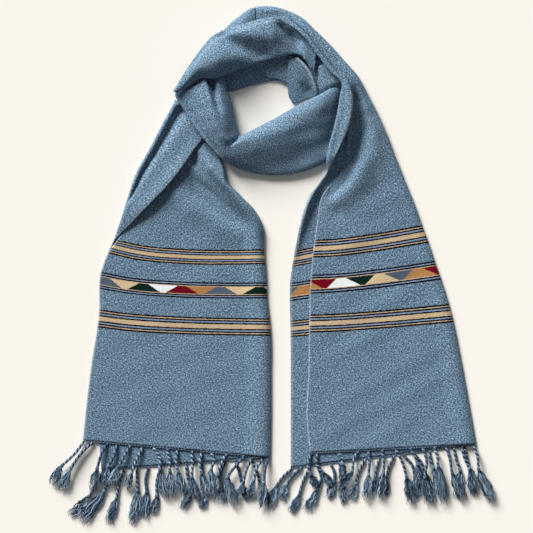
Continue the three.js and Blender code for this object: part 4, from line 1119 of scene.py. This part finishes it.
def tube_object(name, parts, tones):
    """parts are results of tubes(); tones gives each tube a number from 0, dark, to 1, pale."""
    verts, faces, tone, offset = [], [], [], 0
    for (v, q, caps, each), shades in zip(parts, tones):
        verts.append(v)
        faces += (q + offset).tolist() + (caps + offset).tolist()
        tone.append(np.repeat(np.asarray(shades, float), each))
        offset += len(v)
    verts, tone = np.concatenate(verts), np.concatenate(tone)
    verts[:, 2] = np.maximum(verts[:, 2], LOWEST_WOOL)
    mesh = bpy.data.meshes.new(name)
    mesh.from_pydata(in_metres(verts).tolist(), [], faces)
    loops = np.empty(len(mesh.loops), int)
    mesh.loops.foreach_get("vertex_index", loops)
    layer = mesh.uv_layers.new(name="tone")
    pairs = np.stack([tone[loops], np.zeros(len(loops))], axis=1)
    layer.uv.foreach_set("vector", pairs.astype(np.float32).ravel())
    mesh.polygons.foreach_set("use_smooth", [True] * len(mesh.polygons))
    made = bpy.data.objects.new(name, mesh)
    bpy.context.scene.collection.objects.link(made)
    return made


short_tube = tubes([[[0, 0, 0], [0, 1, 0], [0, 2, 0]]], [[1, 1, 1]], sides=6)
print("a tube with three rings has", len(short_tube[1]), "quads and", len(short_tube[2]), "caps")

# %% [markdown]
# The fringe is the same wool as the cloth, but unwoven. Each fibre keeps its own tone, picked
# when it is made, so a tuft is a mix of pale and dark like the yarn that it comes from. The two
# plies of a cord are not left to chance: one is dark and the other pale, which paints the shade
# and the highlight of the twist.

# %% Loose wool
FIBRE_GRAIN = 1.5  # mm across the drawn unevenness of a bundle of fibres


def loose_wool(name, dark, mid, pale):
    made, tree = new_material(name)
    tone_map = add(tree, "ShaderNodeUVMap", uv_map="tone")
    tone = add(tree, "ShaderNodeSeparateXYZ", {0: tone_map.outputs[0]})
    ramp = add(tree, "ShaderNodeValToRGB", {"Fac": tone.outputs[0]})
    stops = ramp.color_ramp.elements
    stops[0].position, stops[0].color = 0.05, hex_colour(dark)
    stops[1].position, stops[1].color = 0.95, hex_colour(pale)
    stops.new(0.5).color = hex_colour(mid)
    place = add(tree, "ShaderNodeTexCoord").outputs["Object"]
    grain = add(tree, "ShaderNodeTexNoise", {
        "Vector": place, "Scale": 1000 / FIBRE_GRAIN, "Detail": 2.0,
    })
    bump = add(tree, "ShaderNodeBump", {
        "Strength": 0.5, "Distance": 0.0005, "Height": grain.outputs[0],
    })
    shader = add(tree, "ShaderNodeBsdfPrincipled", {
        "Base Color": ramp.outputs[0], "Roughness": 0.9, "IOR": 1.54, "Specular IOR Level": 0.25,
        "Sheen Weight": 0.15, "Sheen Roughness": 0.5, "Sheen Tint": hex_colour("#c9d6e2"),
        "Normal": bump.outputs[0],
    })
    add(tree, "ShaderNodeOutputMaterial", {"Surface": shader.outputs[0]})
    return made


FRINGE_WOOL = loose_wool("Twisted and frayed heather wool", "#13253a", "#45617d", "#a9c3d9")
print("loose wool:", FRINGE_WOOL.name)

# %% [markdown]
# A strand is drawn from a row of its table: where it leaves the hem, how far it bows to the side,
# where its knot lies and where its tip ends. Two plies wind round that line as far as the knot,
# two turns of cord make the knot, and a bundle of wavy fibres spreads out of it.
#
# Hair curves could be grown there, but meshes are used instead. Real fibres are far too fine and
# too many, so thicker locks stand for bundles of them, with finer strays between.

# %% Cords and knots
PLY_RADIUS = 1.3
PLY_ORBIT = 1.15
PLY_SIDES = 6
CORD_POINTS = 41
TWIST = 7.6  # mm for a full turn of the two plies
PLY_SCATTER = 40  # turns the plies of each cord differently, by its place along the hem
KNOT_TURNS = 2.2
KNOT_POINTS = 25
KNOT_HALF_LENGTH = 1.5
KNOT_ORBIT, KNOT_NARROWS = 1.75, 0.5  # the orbit in its middle, and how much less at its ends
KNOT_LOWEST = 2.9
rng = np.random.default_rng(7)


def side_frame(path):
    ahead = np.gradient(path, axis=0)
    ahead /= np.linalg.norm(ahead, axis=1, keepdims=True)
    aside = np.cross(ahead, [0, 0, 1.0])
    aside /= np.linalg.norm(aside, axis=1, keepdims=True)
    return ahead, aside, np.cross(aside, ahead)


def wound(path, orbit, turns_at, phase):
    """A line that winds round a path."""
    _, aside, up = side_frame(path)
    angle = turns_at * 2 * math.pi + phase
    return path + aside * (np.cos(angle) * orbit)[:, None] + up * (np.sin(angle) * orbit)[:, None]


def twisted_plies(cord, long, root):
    parts, tones = [], []
    for phase in (0, math.pi):
        orbit = np.full(CORD_POINTS, PLY_ORBIT)
        ply = wound(cord, orbit, long / TWIST, phase + root * PLY_SCATTER)
        parts.append(tubes([ply], np.full((1, CORD_POINTS), PLY_RADIUS), PLY_SIDES))
        # One ply is dark and the other pale: painted shade and painted highlight along the twist.
        tones.append([rng.uniform(0.5, 0.75) if phase else rng.uniform(0.05, 0.2)])
    return parts, tones


def knot_coil(cord, knot):
    spot = np.linspace(-1, 1, KNOT_POINTS)
    ahead, _, _ = side_frame(cord[-3:])
    core = knot + ahead[-1] * (spot * KNOT_HALF_LENGTH)[:, None]
    core[:, 2] = np.maximum(core[:, 2], KNOT_LOWEST)
    orbit = KNOT_ORBIT - KNOT_NARROWS * spot**2
    coil = wound(core, orbit, (spot + 1) / 2 * KNOT_TURNS, rng.uniform(0, 6))
    coil_tube = tubes([coil], np.full((1, KNOT_POINTS), PLY_RADIUS), PLY_SIDES)
    return [coil_tube], [[rng.uniform(0.35, 0.65)]]


print("a ply is", 2 * PLY_RADIUS, "mm thick and turns once in", TWIST, "mm")

# %% [markdown]
# A tuft is drawn twice over: broad locks first, then thin stray fibres that curl more. Both start
# in the knot, swell out below it and draw in a little towards the tip. A few short hairs also
# stand off the cord above the knot.

# %% Tufts and hairs
# reach is the length of the shortest, as a share of the tuft, and sides are those of a tube. A lean
# above 1 makes dark tones more common, and one below 1 makes pale ones so.
TUFT = table("count radius curl reach sides lean", [
    [24, 0.78, 1.9, 0.62, 4, 1.5],  # locks
    [26, 0.28, 3.0, 0.8, 3, 0.5],  # stray fibres
])
TUFT_FIBRES = sum(kind["count"] for kind in TUFT)
FIBRE_TAPER = ([0, 0.15, 0.75, 1], [0.7, 1, 0.85, 0.25])  # places along a fibre, and its thickness
FIBRE_POINTS = 11
FIBRE_LOWEST = 0.8
HAIRS = 14
HAIR_RADII = [0.16, 0.14, 0.1, 0.05]


def tuft(path, knot, tip):
    length = np.linalg.norm(tip - knot)
    share = np.linspace(0, 1, FIBRE_POINTS)
    line = curve_through(np.linspace(0, 1, len(path)), path, share)
    _, aside, _ = side_frame(line)
    swell = np.sin(share * 2.3) ** 0.55
    parts, tones = [], []
    for kind in TUFT:
        count = kind["count"]
        spread = rng.uniform(-1, 1, (count, 1)) * swell * (4.0 + length * 0.06)
        phase = rng.uniform(0, 6.3, (count, 2))
        turns = rng.uniform(1.2, 3.0, (count, 1)) * 2 * math.pi
        wave = np.sin(share * turns + phase[:, :1]) * kind["curl"] * share**0.5
        bulge = np.abs(rng.normal(0, 1, (count, 1))) * swell * 1.7
        lift = bulge + np.cos(share * turns + phase[:, 1:]) * 0.5
        reach = rng.uniform(kind["reach"], 1.08, (count, 1, 1))
        fibres = knot + (line - knot) * reach + aside * (spread + wave)[..., None]
        lie = np.maximum(tip[2] * 0.4 + lift, FIBRE_LOWEST)
        fibres[..., 2] = lie * share + knot[2] * (1 - share)
        radius = np.interp(share, *FIBRE_TAPER) * kind["radius"]
        parts.append(tubes(fibres, np.repeat(radius[None], count, axis=0), kind["sides"]))
        tones.append(rng.uniform(0, 1, count) ** kind["lean"])
    return parts, tones


def stray_hairs(cord):
    roots = cord[rng.integers(4, 38, HAIRS)]
    outward = rng.normal(0, 1, (HAIRS, 3)) * [1, 1, 0.4]
    outward /= np.linalg.norm(outward, axis=1, keepdims=True)
    grow = np.linspace(0.5, 1, 4)[None, :, None] * rng.uniform(3.4, 5.6, (HAIRS, 1, 1))
    hairs = roots[:, None] + outward[:, None] * grow
    return [tubes(hairs, np.tile(HAIR_RADII, (HAIRS, 1)), 3)], [rng.uniform(0.5, 1, HAIRS)]


print("a tuft has", TUFT_FIBRES, "locks and stray fibres")

# %% [markdown]
# The path of a strand runs through four points: its root, an elbow where it bows aside, the knot
# and the tip. The cord follows it as far as the knot, and the tuft follows the rest.

# %% One strand
def strand(start, row, base_z, end_z):
    knot_z = base_z + (end_z - base_z) * 0.7 + row["lift"]
    knot = np.array([row["knotX"], row["knotY"], knot_z])
    tip = np.array([row["tipX"], row["tipY"], end_z + row["lift"]])
    away = np.hypot(*(knot - start)[:2])
    side = np.array([knot[1] - start[1], start[0] - knot[0], 0]) / away
    elbow = start + (knot - start) * 0.5 + side * row["bow"]
    elbow[2] = base_z + (knot[2] - base_z) * 0.8
    at = np.linspace(0, 2, 2 * CORD_POINTS - 1)
    path = curve_through([0, 0.5, 1, 2], [start, elbow, knot, tip], at)
    cord = path[:CORD_POINTS]
    steps = np.linalg.norm(np.diff(cord, axis=0), axis=1)
    long = np.concatenate([[0], np.cumsum(steps)])
    clear_of_table = np.interp(long, [0, 4], [0.9, 2.2])
    cord[:, 2] = np.maximum(cord[:, 2], clear_of_table)
    parts, tones = [], []
    for made, shades in (
        twisted_plies(cord, long, row["root"]),
        knot_coil(cord, knot),
        tuft(path[CORD_POINTS - 1 :], knot, tip),
        stray_hairs(cord),
    ):
        parts += made
        tones += shades
    return parts, tones


print("each strand is two plies, a knot and", TUFT_FIBRES + HAIRS, "fibres and hairs")

# %% [markdown]
# Each strand is placed from the photograph: its root as a share of the hem's length, how far it
# bows aside, its knot and its tip. Those that lie on others are lifted.

# %% The strands of the left end
FRINGE = "root bow knotX knotY tipX tipY lift"
LEFT_FRONT = table(FRINGE, [
    [0.006, -2, -316.7, -300.4, -331, -329, 0],
    [0.053, 3, -305, -307, -317, -337, 0],
    [0.13, 2, -264, -304.9, -271, -338, 2],
    [0.183, -2, -247, -301, -254, -329, 0],
    [0.253, 0, -231.8, -301.5, -243, -331, 1],
    [0.322, 1, -212.3, -310.6, -220, -336, 1],
    [0.38, -5, -170, -307, -160, -349, 1],
    [0.45, -2, -155, -309, -149, -346, 1],
    [0.506, 2, -143, -309, -134, -343, 1],
    [0.583, -1, -121.9, -317.5, -115, -354, 1],
    [0.637, 3, -107.5, -312, -99, -346, 1],
    [0.69, -4, -93, -305, -90, -350, 1],
    [0.765, 1, -83, -314, -80, -338, 1],
    [0.862, 1, -68, -317.5, -56, -361, 1],
    [0.908, 2, -45, -325, -52, -345, 1],
    [0.965, 3, -29, -322, -36, -346, 1],
    [0.992, 2, -14, -325, -19, -364, 4],
])
LEFT_BACK = table(FRINGE, [
    [0.01, -1, -276.5, -346.3, -304, -375, 0],
    [0.05, -2, -253.6, -338.2, -286, -385, 0],
    [0.14, 2, -235.3, -349.8, -248, -387, 0],
    [0.215, 0, -203.5, -338.2, -212, -387, 0],
    [0.285, 3, -190, -340, -196, -380, 0],
    [0.36, 3, -175, -346.3, -183, -373, 0],
    [0.515, 1, -124.7, -335, -136, -365, 0],
    [0.61, 1, -103, -336.3, -108, -364, 0],
    [0.755, 2, -80, -322, -76, -356, 0],
    [0.815, -1, -47, -329, -36, -352, 0],
    [0.91, -2, -20, -328, -8, -350, 0],
])
print("strands of the left end:", len(LEFT_FRONT), "in front and", len(LEFT_BACK), "behind")

# %% [markdown]
# The right end's strands are counted in the same way, from its inner edge to its outer one.

# %% The strands of the right end
RIGHT_FRONT = table(FRINGE, [
    [0.006, 4, 56, -314, 66, -334, 0],
    [0.045, 5, 74.5, -311, 88, -331, 0],
    [0.17, -3, 104, -298, 105, -322, 5],
    [0.286, 2, 118, -310, 96, -334, 0],
    [0.355, -1, 143, -313.6, 139.6, -352, 1],
    [0.434, -2, 165, -311.4, 159, -349, 1],
    [0.52, -2, 199.8, -318, 207, -356, 1],
    [0.604, -2, 216, -298, 220, -334, 1],
    [0.683, -4, 227, -318, 233.4, -357, 1],
    [0.748, -2, 247, -301, 256, -357, 1],
    [0.823, -1, 268.2, -311.7, 285, -351, 1],
    [0.916, 2, 294, -304.2, 302, -340, 1],
    [0.988, -2, 308, -306.7, 330, -354, 1],
])
RIGHT_BACK = table(FRINGE, [
    [0.005, 2, 5, -331, -6, -364, 0],
    [0.06, 2, 20, -329, 12, -352, 0],
    [0.108, 2, 38.5, -344.5, 26, -370, 0],
    [0.145, -6, 66, -336.6, 50, -368, 0],
    [0.22, -3, 91, -325, 82.3, -349, 0],
    [0.27, 1, 103, -326, 106, -356, 0],
    [0.41, 2, 124, -327, 118, -351, 0],
    [0.49, 1, 152, -322, 141, -342, 0],
    [0.57, 2, 170, -322, 166, -345, 0],
    [0.62, -5, 212, -318, 217, -349, 0],
    [0.68, -3, 228, -313, 240, -355, 0],
    [0.765, 1, 240, -304, 258, -349, 0],
    [0.9, 1, 280, -308, 275.5, -347, 0],
    [0.96, 0, 294.3, -309, 299, -345, 0],
])
print("strands of the right end:", len(RIGHT_FRONT), "in front and", len(RIGHT_BACK), "behind")

# %% [markdown]
# The roots of the strands share the heading, where the last weft threads hold them. It is a thin
# twisted cord of its own along the hem. The front layer's fringe ends higher above the table than
# the back layer's, which it lies on.

# %% The four fringes
SEAM, HEADING_WIDTH = 0.35, 3.0
ROOT_SINKS = 1.2  # mm that a root reaches into the heading
HEADING_MIDDLE = 0.5  # mm beyond the seam
HEADING_POINTS = 240
HEADING_TURNS = 60
HEADING_ORBIT, HEADING_RADIUS = 0.45, 0.55
FRONT_END, BACK_END = 9.0, 3.0  # mm above the table
SHORT_OF_FOLD = (6, 1.2)  # mm to the left and down, where the back layer's hem ends


def front_hem(row):
    return np.array([
        [row["frontX"], row["frontY"], row["frontZ"]], [row["foldX"], row["foldY"], row["foldZ"]],
    ])


def back_hem(row):
    return np.array([
        [row["backX"], row["backY"], HALF_CLOTH],
        [row["foldX"] - SHORT_OF_FOLD[0], row["foldY"] - SHORT_OF_FOLD[1], HALF_CLOTH],
    ])


def fringe(name, node, hem, rows, end_z):
    left, right = hem
    along = (right - left)[:2] / np.hypot(*(right - left)[:2])
    out = np.array([along[1], -along[0], 0])
    parts, tones = [], []
    for row in rows:
        into = out * (SEAM + HEADING_WIDTH - ROOT_SINKS)
        start = left + (right - left) * row["root"] + into
        made, shades = strand(start, row, start[2], end_z)
        parts += made
        tones += shades
    share = np.linspace(0.004, 0.996, HEADING_POINTS)
    line = left + (right - left) * share[:, None] + out * (SEAM + HEADING_MIDDLE)
    for phase in (0, math.pi):
        orbit = np.full(HEADING_POINTS, HEADING_ORBIT)
        cord = wound(line, orbit, share * HEADING_TURNS, phase)
        parts.append(tubes([cord], np.full((1, HEADING_POINTS), HEADING_RADIUS), 5))
        tones.append([0.7 if phase else 0.25])
    made = tube_object(name, parts, tones)
    made.data.materials.append(FRINGE_WOOL)
    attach(made, "root")
    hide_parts(node)
    print(name, "has", len(rows), "strands and", len(made.data.polygons), "faces")
    return made


left_hem, right_hem = LEFT_TAIL[0], RIGHT_TAIL[0]
left_fringes = [
    fringe("left_front_strands", "left_front_fringe", front_hem(left_hem), LEFT_FRONT, FRONT_END),
    fringe("left_back_strands", "left_back_fringe", back_hem(left_hem), LEFT_BACK, BACK_END),
]
right_fringes = [
    fringe("right_front_strands", "right_front_fringe",
           front_hem(right_hem), RIGHT_FRONT, FRONT_END),
    fringe("right_back_strands", "right_back_fringe",
           back_hem(right_hem), RIGHT_BACK, BACK_END),
]

# %% [markdown]
# Each stretch of cloth gets its wool and is hung on the body root, and the solid that it dresses
# is hidden. The muffler is taken to be about 560 mm wide. The plain layers list the size of their
# flat cut. For the rolls the view gives 0.0193 and 0.0101 for the upper face, and what was added
# for the sides was settled with the meshes already measured. The plain layers are mostly hidden,
# and their areas are close to what their meshes measured. So for the rolls and the plain layers
# the comparison proves nothing.

# %% Dress each cloth
def dress(piece, node, material=PLAIN_WOOL):
    piece.data.materials.append(material)
    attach(piece, "root")
    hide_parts(node)


dress(left_tail, "left_tail",
      LEFT_WOOL)
dress(right_tail, "right_tail",
      RIGHT_WOOL)
dress(throat, "throat_band")
dress(nape, "nape_roll")
for piece, (node, _, lies_on, cut) in zip(layers, LAYERS):
    # The fold of the inner turn has the rolled selvedge, whose broader pale line is partly painted
    # highlight.
    material = SELVEDGE_AND_HIGHLIGHT_WOOL if node == "inner_turn_fold" else PLAIN_WOOL
    dress(piece, node, material)

# %% [markdown]
# The muffler lies on something plain, drawn here as uncoated paper: warm white and matt, so that
# nothing mirrors in it. It isn't part of the object. A plane is enough for it, but a large one, so
# that its edge stays far away in a view from the side. It lies a little below the cloth, because
# two surfaces in one plane would flicker.

# %% Floor
FLOOR_REACH = 4  # metres to each side
FLOOR_Z = -0.0004


def matt_paper(name, colour):
    made, tree = new_material(name)
    shader = add(tree, "ShaderNodeBsdfPrincipled", {
        "Base Color": hex_colour(colour), "Roughness": 0.85, "Specular IOR Level": 0.2,
    })
    add(tree, "ShaderNodeOutputMaterial", {"Surface": shader.outputs[0]})
    return made


corner_signs = ((-1, -1), (1, -1), (1, 1), (-1, 1))
corners = [(x * FLOOR_REACH, y * FLOOR_REACH, FLOOR_Z) for x, y in corner_signs]
floor_mesh = bpy.data.meshes.new("table_top")
floor_mesh.from_pydata(corners, [], [(0, 1, 2, 3)])
floor = bpy.data.objects.new("table_top", floor_mesh)
bpy.context.scene.collection.objects.link(floor)
floor_mesh.materials.append(matt_paper("Matt warm-white paper", "#f4f1eb"))
print("floor:", floor.name, "of", floor_mesh.materials[0].name)

# %% [markdown]
# The shadows are soft and all fall towards the tails, as from one large window beyond the nape and
# a little to the left. An area lamp near the cloth would light its top more than its foot. A sun
# lamp lights the whole table evenly, and a wide angle makes it as soft as a big window. An even
# room light fills the shadows.

# %% Light
WINDOW_HEIGHT = 25  # degrees above the table
WINDOW_TURN = 211  # degrees round the upright axis, so that its light comes from beyond the nape
WINDOW_STRENGTH = 6.6
WINDOW_SOFTNESS = 27  # degrees across, as it is seen from the cloth
ROOM_STRENGTH = 0.19
window = bpy.data.lights.new("window", "SUN")
window.energy = WINDOW_STRENGTH
window.angle = math.radians(WINDOW_SOFTNESS)
window.color = hex_colour("#fffcf7")[:3]
window_light = bpy.data.objects.new("window", window)
window_light.rotation_euler = (math.radians(90 - WINDOW_HEIGHT), 0, math.radians(WINDOW_TURN))
bpy.context.scene.collection.objects.link(window_light)
room = bpy.data.worlds.new("room")
room.use_nodes = True
air = room.node_tree.nodes["Background"].inputs
air["Color"].default_value = hex_colour("#f6f8fc")
air["Strength"].default_value = ROOM_STRENGTH
bpy.context.scene.world = room
bpy.context.scene.view_settings.view_transform = "Standard"
print("the window stands", WINDOW_HEIGHT, "degrees above the table")

# %% [markdown]
# The camera looks straight down. It stands far off with a long lens, so that the higher folds
# hardly spread outwards, and its frame is 800 mm wide on the table.

# %% Camera
FRAME_WIDTH = 0.7995  # metres
CAMERA_HEIGHT = 9.0
SENSOR = 36  # mm
FRAME_MIDDLE = [-10.25, -1.75, 0]  # in the drawing
lens = bpy.data.cameras.new("camera")
lens.sensor_width = SENSOR
lens.lens = SENSOR * CAMERA_HEIGHT / FRAME_WIDTH
lens.clip_end = 60
camera = bpy.data.objects.new("camera", lens)
camera.location = (*in_metres(FRAME_MIDDLE)[:2], CAMERA_HEIGHT)
bpy.context.scene.collection.objects.link(camera)
bpy.context.scene.camera = camera
print("camera", CAMERA_HEIGHT, "m above the table, with a lens of", round(lens.lens), "mm")
